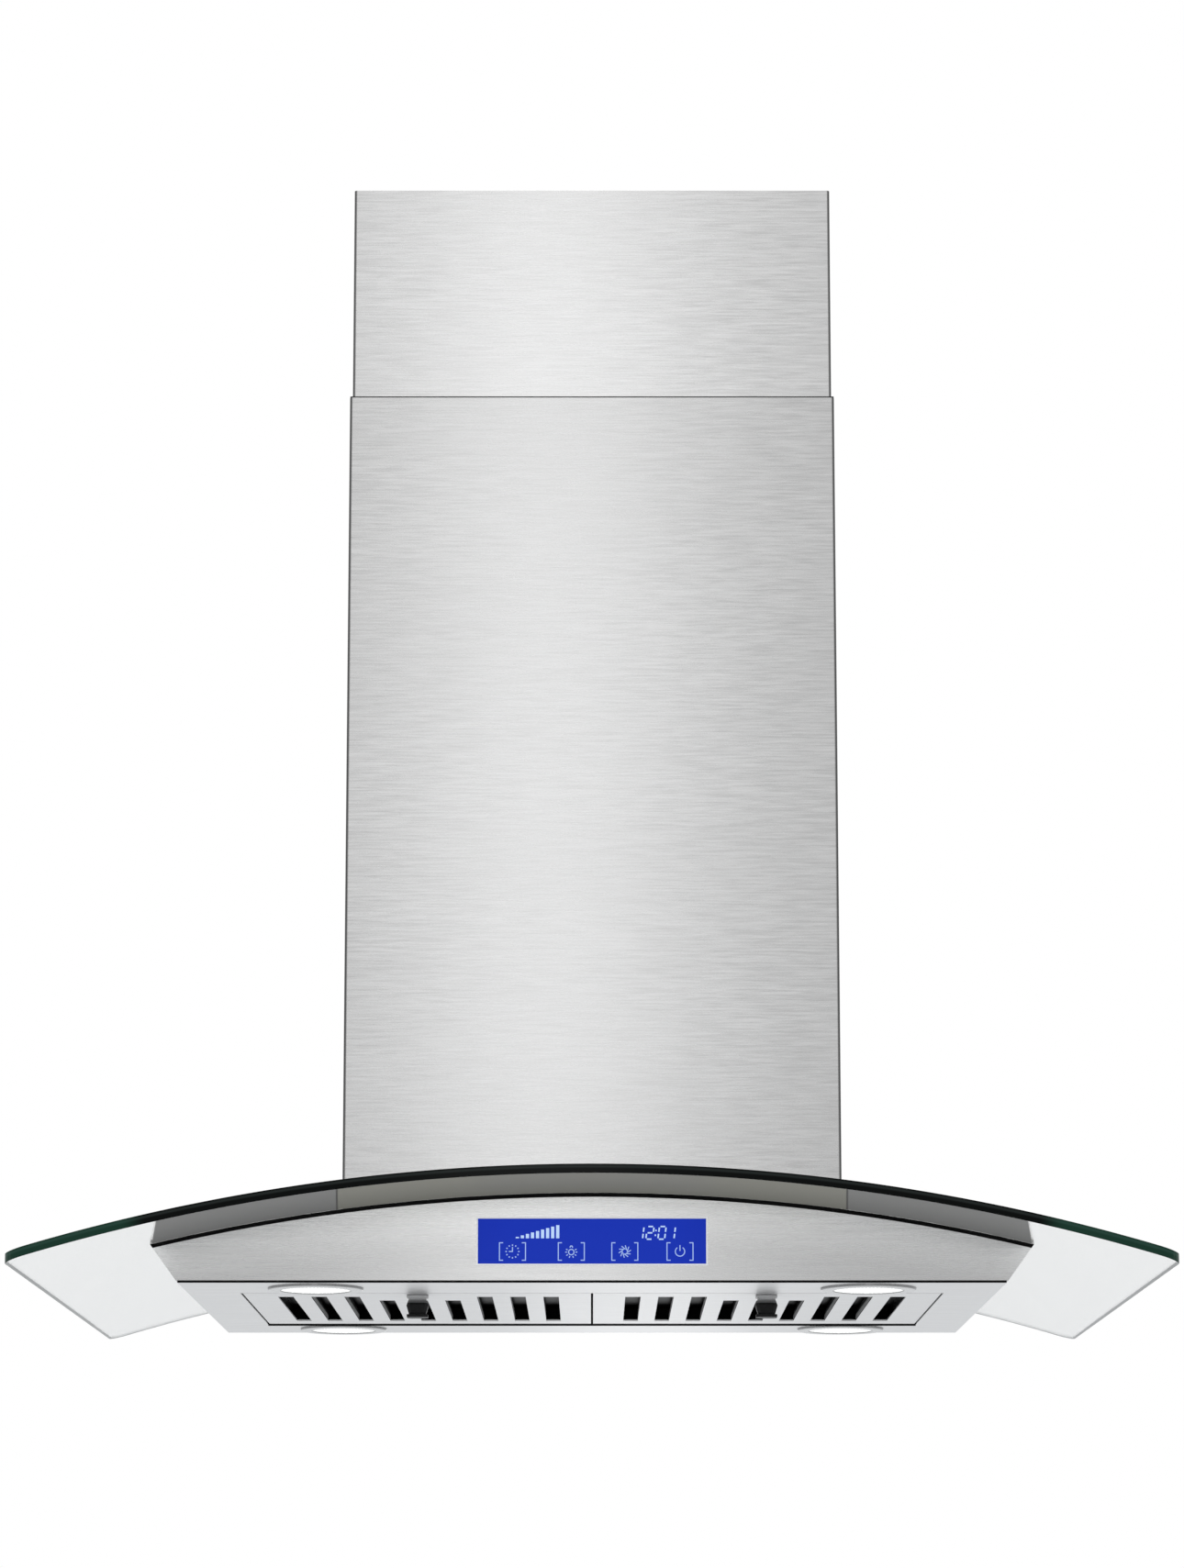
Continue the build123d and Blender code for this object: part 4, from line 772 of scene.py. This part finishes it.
def polished_rim():
    """Black glass that turns bottle green past the body, with a painted highlight stripe."""
    rim = Finish("rim_glass")
    across, _, _ = rim.axes()
    to_tip = abs(across).fade(*[body_high.x + offset for offset in TIP_FADE])
    swirl = rim.noise((20.0, 20.0, 60.0)) * 0.3
    level = from_axis(rim)
    low, middle, high = [(GLASS_RADIUS + GLASS_THICK * share) ** 2 for share in HIGHLIGHT_SHARES]
    # A painted highlight: a paler stripe in the upper half of the rim's thickness.
    highlight_stripe = level.fade(low, middle) * level.fade(high, middle)
    deep = rim.mix(highlight_stripe, (0.0015, 0.0022, 0.0020, 1.0), (0.016, 0.020, 0.019, 1.0))
    bottle = rim.mix(swirl, (0.008, 0.034, 0.021, 1.0), (0.020, 0.060, 0.043, 1.0))
    bottle = rim.mix(highlight_stripe * 0.5, bottle, (0.030, 0.075, 0.058, 1.0))
    return rim.done(rim.principled(
        Base_Color=rim.mix(to_tip, deep, bottle), Roughness=swirl * 0.2 + 0.08, Specular_IOR_Level=0.05))


rim_glass = polished_rim()
print(rim_glass.name, "on a rim of", GLASS_THICK)

# %% [markdown]
# A new piece is a mesh of its own. Its modifiers are turned into plain mesh, because the export bakes plain
# meshes only, and then it is told which body it moves with. The glass is thickened and its rim rounded
# while it is flat, and bent last, so that the rounding stays even.

# %% Glass piece
GLASS_RIM = 0.0013
RIM_ANGLE = math.radians(60)
GLASS_SMOOTH = math.radians(12)


def new_piece(name, mesh, *finishes):
    piece = bpy.data.objects.new(name, mesh)
    scene.collection.objects.link(piece)
    for finish in finishes:
        mesh.materials.append(finish)
    return piece


def settle(piece, body):
    """Turn a piece's modifiers into plain mesh, and let it ride on its body."""
    made = piece.evaluated_get(bpy.context.evaluated_depsgraph_get())
    mesh = bpy.data.meshes.new_from_object(made)
    piece.modifiers.clear()
    piece.data = mesh
    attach(piece, body)
    print(piece.name, len(mesh.polygons), "faces on", body)
    return piece


def arc_height(x, radius):
    return GLASS_ARC_Z + math.sqrt(radius ** 2 - x ** 2)


glass = new_piece("glass_sheet", glass_mesh, canopy_glass, rim_glass)
thick = glass.modifiers.new("thickness", "SOLIDIFY")
thick.thickness, thick.offset, thick.material_offset_rim = GLASS_THICK, 1.0, 1
rounded = glass.modifiers.new("rim", "BEVEL")
rounded.width, rounded.segments, rounded.limit_method = GLASS_RIM, 3, "ANGLE"
rounded.angle_limit = RIM_ANGLE
settle(glass, "hood")
for vertex in glass.data.vertices:
    under = arc_height(vertex.co.x, GLASS_RADIUS)
    over = arc_height(vertex.co.x, GLASS_RADIUS + GLASS_THICK)
    vertex.co.z = under + (over - under) * vertex.co.z / GLASS_THICK
glass.data.update()
glass.data.shade_smooth()
glass.data.set_sharp_from_angle(angle=GLASS_SMOOTH)
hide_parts("glass_canopy")
heights = [vertex.co.z for vertex in glass.data.vertices]
print("glass from", round(min(heights), 4), "to", round(max(heights), 4), "CAD", glass_low.z, glass_high.z)

# %% [markdown]
# Thin lines on the hood, such as the dark strips of painted shade along its seams and the signs of its
# display, are strokes: a row of quads of one width with mitred corners, which is then raised to a thin
# closed plate. A curve with a bevel would also do, but its ends and corners would be round.

# %% Strokes and plates


def stroke(points, width, closed=False):
    """Quads along a line of points, with mitred corners."""
    points = [Vector(point) for point in points]
    last = len(points) - 1
    left, right = [], []
    for index, point in enumerate(points):
        into = point - points[index - 1]
        out = points[(index + 1) % len(points)] - point
        if not closed:
            into = out if index == 0 else into
            out = into if index == last else out
        sides = [Vector((-way.y, way.x)).normalized() for way in (into, out)]
        mitre = (sides[0] + sides[1]).normalized()
        reach = width / 2 / mitre.dot(sides[0])
        left.append(point + mitre * reach)
        right.append(point - mitre * reach)
    starts = range(len(points) if closed else last)
    spans = [(start, (start + 1) % len(points)) for start in starts]
    return [(right[start], right[end], left[end], left[start]) for start, end in spans]


def raised(name, quads, place, thick, finish, body, facing="front"):
    """Flat quads made into a thin closed plate, on a front face or lying level."""
    plan = bmesh.new()
    for quad in quads:
        plan.faces.new([plan.verts.new((*point, 0.0)) for point in quad])
    bmesh.ops.remove_doubles(plan, verts=plan.verts, dist=TINY)
    bmesh.ops.recalc_face_normals(plan, faces=plan.faces)
    for face in plan.faces:
        if face.normal.z < 0:
            face.normal_flip()
    for vertex in plan.verts:
        u, v = vertex.co.x, vertex.co.y
        flat = (u, 0.0, v) if facing == "front" else (u, v, 0.0)
        vertex.co = Vector(flat) + Vector(place)
    mesh = bpy.data.meshes.new(name)
    plan.to_mesh(mesh)
    plan.free()
    piece = new_piece(name, mesh, finish)
    plate = piece.modifiers.new("plate", "SOLIDIFY")
    plate.thickness, plate.offset = thick, 1.0
    return settle(piece, body)


def rectangle(half_width, half_height):
    return [(-half_width, -half_height), (half_width, -half_height), (half_width, half_height),
            (-half_width, half_height)]


print("strokes ready")

# %% [markdown]
# Thin dark lines part the sheets, and each is a dark strip that stands for shade: a felt strip for the shade
# in the gap where the upper tube slides into the lower one, and a dark seam for the shadow under the front
# and back panels where the bottom panel is tucked in. Behind the filters a dark bead stands for the shadow
# in the gap at the back of the opening.

# %% Felt strip, bead and seams
FELT_INSET = 0.0009
FELT_SIZE = (0.0012, 0.0009)
SHADOW_BEAD = (0.0016, 0.0009)
SHADOW_BEAD_Y = 0.1236
SEAM_WIDTH = 0.0016
SEAM_THICK = 0.0001

felt = skin("slide_felt", (0.02, 0.02, 0.02), 0.8, 3000.0, 0.0001, 0.1)
tube_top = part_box("lower_chimney")[1].z
felt_line = stroke(rectangle(*[half - FELT_INSET for half in tube_half]), FELT_SIZE[0], True)
# A dark strip of painted shade, in the gap between the tubes.
raised("tube_gap_shade", felt_line, (0, 0, tube_top), FELT_SIZE[1], felt, "hood", "level")

bottom_low, bottom_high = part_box("bottom_panel")
bead_line = stroke([(-OPENING_HALF, 0.0), (OPENING_HALF, 0.0)], SHADOW_BEAD[0])
bead_place = (0, SHADOW_BEAD_Y, bottom_low.z)
# A dark bead of painted shadow, behind the filters.
raised("back_shadow_bead", bead_line, bead_place, -SHADOW_BEAD[1], seal_rubber, "hood", "level")

seam_line = stroke([(-bottom_high.x, 0.0), (bottom_high.x, 0.0)], SEAM_WIDTH)
for side, face_y, outward in (("front", bottom_low.y, SEAM_THICK), ("back", bottom_high.y, -SEAM_THICK)):
    seam_place = (0, face_y, bottom_low.z + SEAM_WIDTH / 2)
    # Dark strips of painted shadow under the front and back panels.
    raised(f"seam_{side}", seam_line, seam_place, outward, seal_rubber, "hood")

# %% [markdown]
# What repeats one shape in a row, a ring or a field is a Geometry Nodes pattern with named sizes, because a
# size is then changed in one place. Each pattern is drawn flat, turned to face its way, made real, painted,
# and then kept as plain mesh.

# %% Geometry Nodes patterns
FACE_FRONT = (math.pi / 2, 0.0, 0.0)
FACE_DOWN = (math.pi, 0.0, 0.0)
SOCKETS = {int: "NodeSocketInt", float: "NodeSocketFloat", tuple: "NodeSocketVector"}


class Pattern(Tree):
    """A Geometry Nodes tree with named sizes, a place, a turn and a finish."""

    def __init__(self, name, **sizes):
        group = bpy.data.node_groups.new(name, "GeometryNodeTree")
        super().__init__(group)
        self.keys = {}
        for size, value in dict(sizes, place=(0.0, 0.0, 0.0), turn=FACE_FRONT).items():
            self.add_input(size, SOCKETS[type(value)]).default_value = value
        self.add_input("finish", "NodeSocketMaterial")
        group.interface.new_socket(name="mesh", in_out="OUTPUT", socket_type="NodeSocketGeometry")
        self.sizes = self.node("NodeGroupInput")

    def add_input(self, name, kind):
        socket = self.tree.interface.new_socket(name=name, in_out="INPUT", socket_type=kind)
        self.keys[name] = socket.identifier
        return socket

    def size(self, name):
        return self.sizes.of(name)

    def vector(self, x, y, z):
        return self.node("ShaderNodeCombineXYZ", {}, {"X": x, "Y": y, "Z": z})

    def close(self, instances):
        """Place the instances, make them real and paint them."""
        sockets = {"Geometry": instances, "Translation": self.size("place"), "Rotation": self.size("turn")}
        placed = self.node("GeometryNodeTransform", {}, sockets)
        real = self.node("GeometryNodeRealizeInstances", {}, {"Geometry": placed})
        sockets = {"Geometry": real, "Material": self.size("finish")}
        painted = self.node("GeometryNodeSetMaterial", {}, sockets)
        self.node("NodeGroupOutput", {}, {"mesh": painted})
        return self


def grow(name, pattern, finish, body, slot, **sizes):
    """One plain mesh from a pattern."""
    piece = new_piece(name, bpy.data.meshes.new(name))
    grower = piece.modifiers.new(name, "NODES")
    grower.node_group = pattern.tree
    for size, value in dict(sizes, finish=finish).items():
        grower[pattern.keys[size]] = value
    return settle(piece, body)


print("patterns take", list(SOCKETS.values()))

# %% [markdown]
# Three patterns serve the hood: a row of bars that rise, for the fan speed, a ring of bars, for dots,
# blades and screw crosses, and a field of flat domes inside a circle, for the lamp lenses.

# %% Bars and domes
CUBE = (1.0, 1.0, 1.0)
DOME_SEGMENTS = 8
DOME_RINGS = 5


def bar_row():
    """Bars on one line, from a first height to a last one."""
    row = Pattern("bar_row", count=9, pitch=1.0, width=1.0, first=1.0, last=2.0, thick=1.0)
    step = row.node("GeometryNodeInputIndex") / (row.size("count") - 1)
    height = row.size("first") + (row.size("last") - row.size("first")) * step
    line = row.node("GeometryNodeMeshLine", {}, {
        "Count": row.size("count"), "Offset": row.vector(row.size("pitch"), 0.0, 0.0)})
    raise_by = row.vector(0.0, height * 0.5, row.size("thick") * 0.5)
    points = row.node("GeometryNodeSetPosition", {}, {"Geometry": line, "Offset": raise_by})
    bar = row.node("GeometryNodeMeshCube", {}, {"Size": CUBE})
    scale = row.vector(row.size("width"), height, row.size("thick"))
    bars = row.node("GeometryNodeInstanceOnPoints", {}, {"Points": points, "Instance": bar, "Scale": scale})
    return row.close(bars)


def bar_ring():
    """Bars round a circle, each pointing outwards and leaning by the same angle."""
    ring = Pattern("bar_ring", count=12, radius=1.0, length=1.0, width=1.0, thick=1.0, lean=0.0)
    turn = ring.node("GeometryNodeInputIndex") * math.tau / ring.size("count") + ring.size("lean")
    sockets = {"Vertices": ring.size("count"), "Radius": ring.size("radius")}
    circle = ring.node("GeometryNodeMeshCircle", {}, sockets)
    lift = ring.vector(0.0, 0.0, ring.size("thick") * 0.5)
    points = ring.node("GeometryNodeSetPosition", {}, {"Geometry": circle, "Offset": lift})
    bar = ring.node("GeometryNodeMeshCube", {}, {"Size": CUBE})
    bars = ring.node("GeometryNodeInstanceOnPoints", {}, {
        "Points": points, "Instance": bar, "Rotation": ring.vector(0.0, 0.0, turn),
        "Scale": ring.vector(ring.size("length"), ring.size("width"), ring.size("thick"))})
    return ring.close(bars)


def dome_field():
    """Flat domes on a square grid, kept inside a circle."""
    field = Pattern("dome_field", steps=10, reach=1.0, dome=1.0, thick=1.0)
    side, steps = field.size("reach") * 2.0, field.size("steps")
    grid = field.node("GeometryNodeMeshGrid", {}, {
        "Size X": side, "Size Y": side, "Vertices X": steps, "Vertices Y": steps})
    place = field.node("GeometryNodeInputPosition")
    away = field.node("ShaderNodeVectorMath", {"operation": "LENGTH"}, {0: place})
    outside = field.node("FunctionNodeCompare", {"operation": "GREATER_THAN"}, {
        "A": away, "B": field.size("reach")})
    points = field.node("GeometryNodeDeleteGeometry", {"domain": "POINT"}, {
        "Geometry": grid, "Selection": outside})
    dome = field.node("GeometryNodeMeshUVSphere", {}, {
        "Segments": DOME_SEGMENTS, "Rings": DOME_RINGS, "Radius": 1.0})
    scale = field.vector(field.size("dome"), field.size("dome"), field.size("thick"))
    domes = field.node("GeometryNodeInstanceOnPoints", {}, {
        "Points": points, "Instance": dome, "Scale": scale})
    return field.close(domes)


BAR_ROW, BAR_RING, DOME_FIELD = bar_row(), bar_ring(), dome_field()
print("patterns", [group.name for group in bpy.data.node_groups])

# %% [markdown]
# The display's signs are pale shapes lit from behind. In its upper half stand nine rising bars for the fan
# speed, grown from the row pattern, and a clock with slanted digits of seven segments, drawn with strokes.

# %% Speed bars and clock
SIGN_THICK = 0.00008
SPEED_PLACE = (-0.0494, 0.0019)
SPEED_BARS = dict(count=9, pitch=0.00334, width=0.0021, first=0.0009, last=0.0087, thick=SIGN_THICK)
SEGMENTS = {"0": "abcdef", "1": "bc", "2": "abdeg"}
DIGIT_HALF = 0.0022
DIGIT_HIGH = 0.0084
DIGIT_SLANT = 0.13
DIGIT_LINE = 0.00095
DIGIT_GAP = 0.00065
CLOCK_FOOT = 0.0013
CLOCK_DIGITS = (("1", 0.0312), ("2", 0.0378), ("0", 0.0458), ("1", 0.0520))
COLON_MIDDLE = 0.0416
COLON_HEIGHTS = (0.0026, 0.0058)
COLON_DOT = 0.0010


def lit_sign(name, colour):
    """A sign's own light, with a faint grain of the printed film."""
    sign = Finish(name)
    film = sign.noise((3000.0, 1.0, 3000.0))
    tone = sign.mix(film * 0.3, tinted(colour), tinted(colour, 0.85))
    return sign.done(sign.principled(
        Base_Color=grey(0.02), Roughness=0.5, Specular_IOR_Level=0.05, Emission_Color=tone,
        Emission_Strength=1.0))


def on_pane(u, v):
    """A place on the pane's front, u to the right and v up from its centre."""
    return (u, pane_low.y, PANE_Z + v)


def digit_strokes(digit, middle, foot):
    """The lit segments of one slanted digit, as short strokes with small gaps at the corners."""
    ends = {"a": ((-1, 2), (1, 2)), "b": ((1, 2), (1, 1)), "c": ((1, 1), (1, 0)), "d": ((-1, 0), (1, 0)),
            "e": ((-1, 1), (-1, 0)), "f": ((-1, 2), (-1, 1)), "g": ((-1, 1), (1, 1))}
    quads = []
    for segment in SEGMENTS[digit]:
        start, end = [Vector((u * DIGIT_HALF, v * DIGIT_HIGH / 2)) for u, v in ends[segment]]
        inset = (end - start).normalized() * DIGIT_GAP
        line = [(middle + p.x + p.y * DIGIT_SLANT, foot + p.y) for p in (start + inset, end - inset)]
        quads += stroke(line, DIGIT_LINE)
    return quads


bright_sign = lit_sign("bright_sign", (0.50, 0.68, 0.98))
grow("speed_bars", BAR_ROW, bright_sign, "hood", "display_blue", place=on_pane(*SPEED_PLACE), **SPEED_BARS)
clock = []
for digit, middle in CLOCK_DIGITS:
    clock += digit_strokes(digit, middle, CLOCK_FOOT)
for high in COLON_HEIGHTS:
    middle = COLON_MIDDLE + high * DIGIT_SLANT
    ends = [(middle + side * COLON_DOT / 2, CLOCK_FOOT + high) for side in (-1, 1)]
    clock += stroke(ends, COLON_DOT)
raised("clock_digits", clock, on_pane(0, 0), SIGN_THICK, bright_sign, "hood")

# %% [markdown]
# The four keys are a timer, a lamp, a fan and the power switch, each between square brackets. Rings of bars
# give the timer's dots and the fan's blades; strokes give the rest. They are dimmer than the clock, so they
# have a light of their own.

# %% Display keys
KEY_MIDDLES = {"timer": -0.0526, "lamp": -0.0137, "fan": 0.0217, "power": 0.0582}
KEY_V = -0.0069
KEY_LINE = 0.00065
BRACKET_HALF = (0.0086, 0.0058)
BRACKET_LIP = 0.0024
TIMER_HANDS = (0.0024, 0.0030)
LAMP_DROP = 0.0004
LAMP_BULB = 0.0018
LAMP_CAP = (0.0033, 0.0008)
LAMP_RAYS = (30, 0, -35, -70, -110, -145, 180, 150)
RAY_REACH = (0.0028, 0.0040)
POWER_RADIUS = 0.0031
POWER_BAR = (0.0004, 0.0042)
RINGS = {
    "timer": dict(count=12, radius=0.0042, length=0.0009, width=0.0008, lean=0.0),
    "fan": dict(count=10, radius=0.0026, length=0.0034, width=0.0006, lean=0.6),
}


def arc(middle, radius, start, end, steps=24):
    """Points along an arc, from one angle in degrees to another."""
    turns = [math.radians(start + (end - start) * step / steps) for step in range(steps + 1)]
    return [(middle[0] + radius * math.cos(turn), middle[1] + radius * math.sin(turn)) for turn in turns]


def brackets(middle):
    """A left and a right square bracket round one key."""
    top, foot = KEY_V + BRACKET_HALF[1], KEY_V - BRACKET_HALF[1]
    quads = []
    for side in (-1, 1):
        far, near = [middle + side * reach for reach in (BRACKET_HALF[0], BRACKET_HALF[0] - BRACKET_LIP)]
        quads += stroke([(near, top), (far, top), (far, foot), (near, foot)], KEY_LINE)
    return quads


def timer_sign(u, v):
    """A clock's two hands, at nine and twelve."""
    return stroke([(u - TIMER_HANDS[0], v), (u, v), (u, v + TIMER_HANDS[1])], KEY_LINE)


def lamp_sign(u, v):
    """A round bulb with a cap and rays."""
    quads = stroke(arc((u, v), LAMP_BULB, 0, 360)[:-1], KEY_LINE, closed=True)
    quads += stroke(arc((u, v + LAMP_CAP[0]), LAMP_CAP[1], -30, 210, 12), KEY_LINE)
    for turn in LAMP_RAYS:
        quads += stroke([arc((u, v), reach, turn, turn, 1)[0] for reach in RAY_REACH], KEY_LINE)
    return quads


def power_sign(u, v):
    """An open ring with an upright bar."""
    bar = [(u, v + rise) for rise in POWER_BAR]
    return stroke(arc((u, v), POWER_RADIUS, 125, 415), KEY_LINE) + stroke(bar, KEY_LINE)


key_sign = lit_sign("key_sign", (0.36, 0.50, 0.86))
keys = [quad for middle in KEY_MIDDLES.values() for quad in brackets(middle)]
keys += timer_sign(KEY_MIDDLES["timer"], KEY_V)
keys += lamp_sign(KEY_MIDDLES["lamp"], KEY_V - LAMP_DROP)
keys += power_sign(KEY_MIDDLES["power"], KEY_V)
raised("key_strokes", keys, on_pane(0, 0), SIGN_THICK, key_sign, "hood")
for key, sizes in RINGS.items():
    grow(f"{key}_marks", BAR_RING, key_sign, "hood", "display_blue", thick=SIGN_THICK,
         place=on_pane(KEY_MIDDLES[key], KEY_V), **sizes)

# %% [markdown]
# A pale trim frames the pane: a painted highlight where the cut edge of the panel catches the light. It is
# one closed stroke.

# %% Pane trim
TRIM_WIDTH = 0.0011
TRIM_THICK = 0.0003

# The trim's pale tone is a painted highlight.
pane_highlight = skin("pane_trim", (0.88, 0.89, 0.94), 0.3, 900.0, 0.00001)
trim_line = stroke(rectangle(*[half + TRIM_WIDTH / 2 for half in PANE_HALF]), TRIM_WIDTH, True)
trim_place = (0, body_low.y, PANE_Z)
raised("pane_trim", trim_line, trim_place, TRIM_THICK, pane_highlight, "hood")

# %% [markdown]
# The same kind of pattern gives the lamp lenses their frosted domes, and the screws of the upper tube dark
# crosses, which paint the shade in their cross recesses. There are four of each, two to the left and two to
# the right, so one pair of loops places them all.

# %% Lens domes and screw crosses
DOME_RIM = 0.0012
LENS_DOMES = dict(steps=19, reach=LENS_RADIUS - DOME_RIM, dome=0.0011, thick=0.0003, turn=FACE_DOWN)
SCREW_PLACE = (0.0600, -0.0150)
ARM_LENGTH = 0.0018
SCREW_ARMS = dict(count=4, radius=ARM_LENGTH / 2, length=ARM_LENGTH, width=0.0007, thick=0.00005, lean=0.0)


def lens_frost():
    """Frosted glass that glows a little less than the lens behind it."""
    frost = Finish("lens_frost")
    speckle = frost.noise((1500.0, 1500.0, 1500.0))
    frosted = frost.mix(speckle, (0.86, 0.87, 0.85, 1.0), (0.94, 0.95, 0.93, 1.0))
    return frost.done(frost.principled(
        Base_Color=grey(0.6), Roughness=0.5, Specular_IOR_Level=0.2, Emission_Color=frosted,
        Emission_Strength=0.6))


frosted_glass = lens_frost()
lens_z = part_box("lamp_lenses")[0].z
screw_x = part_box("chimney_screws")[1].x
for x_side, x_name in ((-1, "left"), (1, "right")):
    for y_side, y_name in ((-1, "front"), (1, "back")):
        lamp_place = (x_side * LAMP_PLACE[0], y_side * LAMP_PLACE[1], lens_z)
        grow(f"lens_domes_{x_name}_{y_name}", DOME_FIELD, frosted_glass, "hood", "lamp_lens",
             place=lamp_place, **LENS_DOMES)
        screw_place = (x_side * screw_x, y_side * SCREW_PLACE[0], SCREW_PLACE[1])
        # Painted shade: dark crosses stand for the shade in the screws' recesses.
        grow(f"screw_recess_shade_{x_name}_{y_name}", BAR_RING, black_plastic, "upper_chimney", "black_plastic",
             place=screw_place, turn=(0.0, x_side * math.pi / 2, 0.0), **SCREW_ARMS)

# %% [markdown]
# A sprung latch holds each filter up, and its black plastic knob hangs below. The knob's upper half faces
# the bright steel, so it shows a pale bloom there, a painted reflection of the steel, drawn by height.

# %% Latch plastic
KNOB_HEIGHT = 0.015
BLOOM_DROP = 0.0052

knob_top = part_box("latch_left")[0].z + KNOB_HEIGHT


def latch_plastic():
    """Black plastic with a painted reflection, a pale bloom, on the knob's upper half."""
    plastic = Finish("latch_plastic")
    _, _, height = plastic.axes()
    pores = plastic.noise((2500.0, 2500.0, 2500.0))
    bloom_foot = knob_top - BLOOM_DROP
    # Painted reflection of the bright steel on the knob's upper half.
    pale = plastic.ramp(height.fade(bloom_foot, knob_top), (0.1, grey(0.10)), (0.6, grey(0.38)))
    bloom = height.fade(bloom_foot - SOFT_EDGE, bloom_foot + SOFT_EDGE)
    tone = plastic.mix(bloom, plastic.ramp(pores, (0.3, grey(0.004)), (0.7, grey(0.008))), pale)
    return plastic.done(plastic.principled(
        Base_Color=tone, Roughness=pores * 0.2 + 0.3, Specular_IOR_Level=0.12))


knob_plastic = latch_plastic()
paint(knob_plastic, "latch_left", "latch_right")
print(knob_plastic.name, "with its bloom above", round(knob_top - BLOOM_DROP, 4))

# %% [markdown]
# The knob is a flange against the filter, a waist, a faceted bulge and a foot to pull on. Its outline is a
# stack of chamfered rectangles, each a drop below the filter, a width and a depth, which are skinned and
# bevelled. A turned shape would be simpler, but the real knob is square. The hidden stem and tongue keep the
# CAD solid's place.

# %% Filter latches
KNOB_STACK = [
    (0.0, 0.0146, 0.0138), (0.0015, 0.0146, 0.0138),
    (0.0020, 0.0119, 0.0113), (0.0026, 0.0119, 0.0113),
    (0.0068, 0.0148, 0.0138), (0.0072, 0.0148, 0.0138),
    (0.0128, 0.0116, 0.0110), (0.0130, 0.0144, 0.0136),
    (KNOB_HEIGHT, 0.0144, 0.0136)]
KNOB_CHAMFER = 0.0022
KNOB_EDGE = 0.00025
KNOB_BEHIND = 0.0152
STEM = (0.006, 0.008)
TONGUE_WIDTH = 0.014
TONGUE_THICK = 0.0015
HIDDEN_CHAMFER = 0.0008


def section(middle, height, width, depth, chamfer):
    """Eight corners of a chamfered rectangle."""
    half_w, half_d = width / 2, depth / 2
    corners = []
    for u, v in ((-1, -1), (1, -1), (1, 1), (-1, 1)):
        on_front = (u * (half_w - chamfer), v * half_d)
        on_side = (u * half_w, v * (half_d - chamfer))
        corners += [on_front, on_side] if u * v < 0 else [on_side, on_front]
    return [(middle[0] + x, middle[1] + y, height) for x, y in corners]


def skinned(solid, rings):
    """A closed skin over rings of equal count."""
    loops = [[solid.verts.new(point) for point in ring] for ring in rings]
    for lower, upper in zip(loops, loops[1:]):
        for i in range(len(lower)):
            j = (i + 1) % len(lower)
            solid.faces.new((lower[i], lower[j], upper[j], upper[i]))
    solid.faces.new(loops[0][::-1])
    solid.faces.new(loops[-1])


def latch_mesh(name, low, high):
    """Knob, stem and tongue of the latch that fills this box."""
    middle = ((low.x + high.x) / 2, low.y + KNOB_BEHIND)
    tongue_middle = (middle[0], (low.y + high.y) / 2)
    tongue = (TONGUE_WIDTH, high.y - low.y)
    tongue_low = high.z - TONGUE_THICK
    solid = bmesh.new()
    skinned(solid, [section(middle, knob_top - drop, width, depth, KNOB_CHAMFER)
                    for drop, width, depth in reversed(KNOB_STACK)])
    skinned(solid, [section(middle, height, *STEM, HIDDEN_CHAMFER) for height in (knob_top, tongue_low)])
    skinned(solid, [section(tongue_middle, height, *tongue, HIDDEN_CHAMFER)
                    for height in (tongue_low, high.z)])
    bmesh.ops.recalc_face_normals(solid, faces=solid.faces)
    mesh = bpy.data.meshes.new(name)
    solid.to_mesh(mesh)
    solid.free()
    return mesh


for side in ("left", "right"):
    knob_mesh = latch_mesh(f"latch_knob_{side}", *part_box(f"latch_{side}"))
    latch = new_piece(f"latch_knob_{side}", knob_mesh, knob_plastic)
    soft_edge = latch.modifiers.new("edges", "BEVEL")
    soft_edge.width, soft_edge.segments = KNOB_EDGE, 2
    settle(latch, f"latch_{side}")
    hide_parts(f"latch_{side}")

# %% [markdown]
# Behind each latch's tongue a bowed leaf of spring steel leans on a lug of the filter frame. Pulling the
# latch back presses the leaf flat. Each spring is a piece of its own that rides on its filter. It copies the
# CAD solid, whose triangles are loose, so the copy's corners are joined first.

# %% Latch springs
SPRING_SMOOTH = math.radians(30)


def joined_copy(name, node):
    """A CAD node's triangles, joined at their corners, with smooth bends and sharp edges."""
    mesh = bpy.data.meshes.new(name)
    mesh.from_pydata([v.co for v in node.vertices], [], [face.vertices[:] for face in node.polygons])
    joined = bmesh.new()
    joined.from_mesh(mesh)
    bmesh.ops.remove_doubles(joined, verts=joined.verts, dist=TINY)
    joined.to_mesh(mesh)
    joined.free()
    mesh.shade_smooth()
    mesh.set_sharp_from_angle(angle=SPRING_SMOOTH)
    return mesh


for side in ("left", "right"):
    leaf_mesh = joined_copy(f"leaf_spring_{side}", nodes[f"latch_spring_{side}"].data)
    leaf = new_piece(f"leaf_spring_{side}", leaf_mesh, zinc_plate)
    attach(leaf, f"filter_{side}")
    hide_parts(f"latch_spring_{side}")
    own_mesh(leaf)
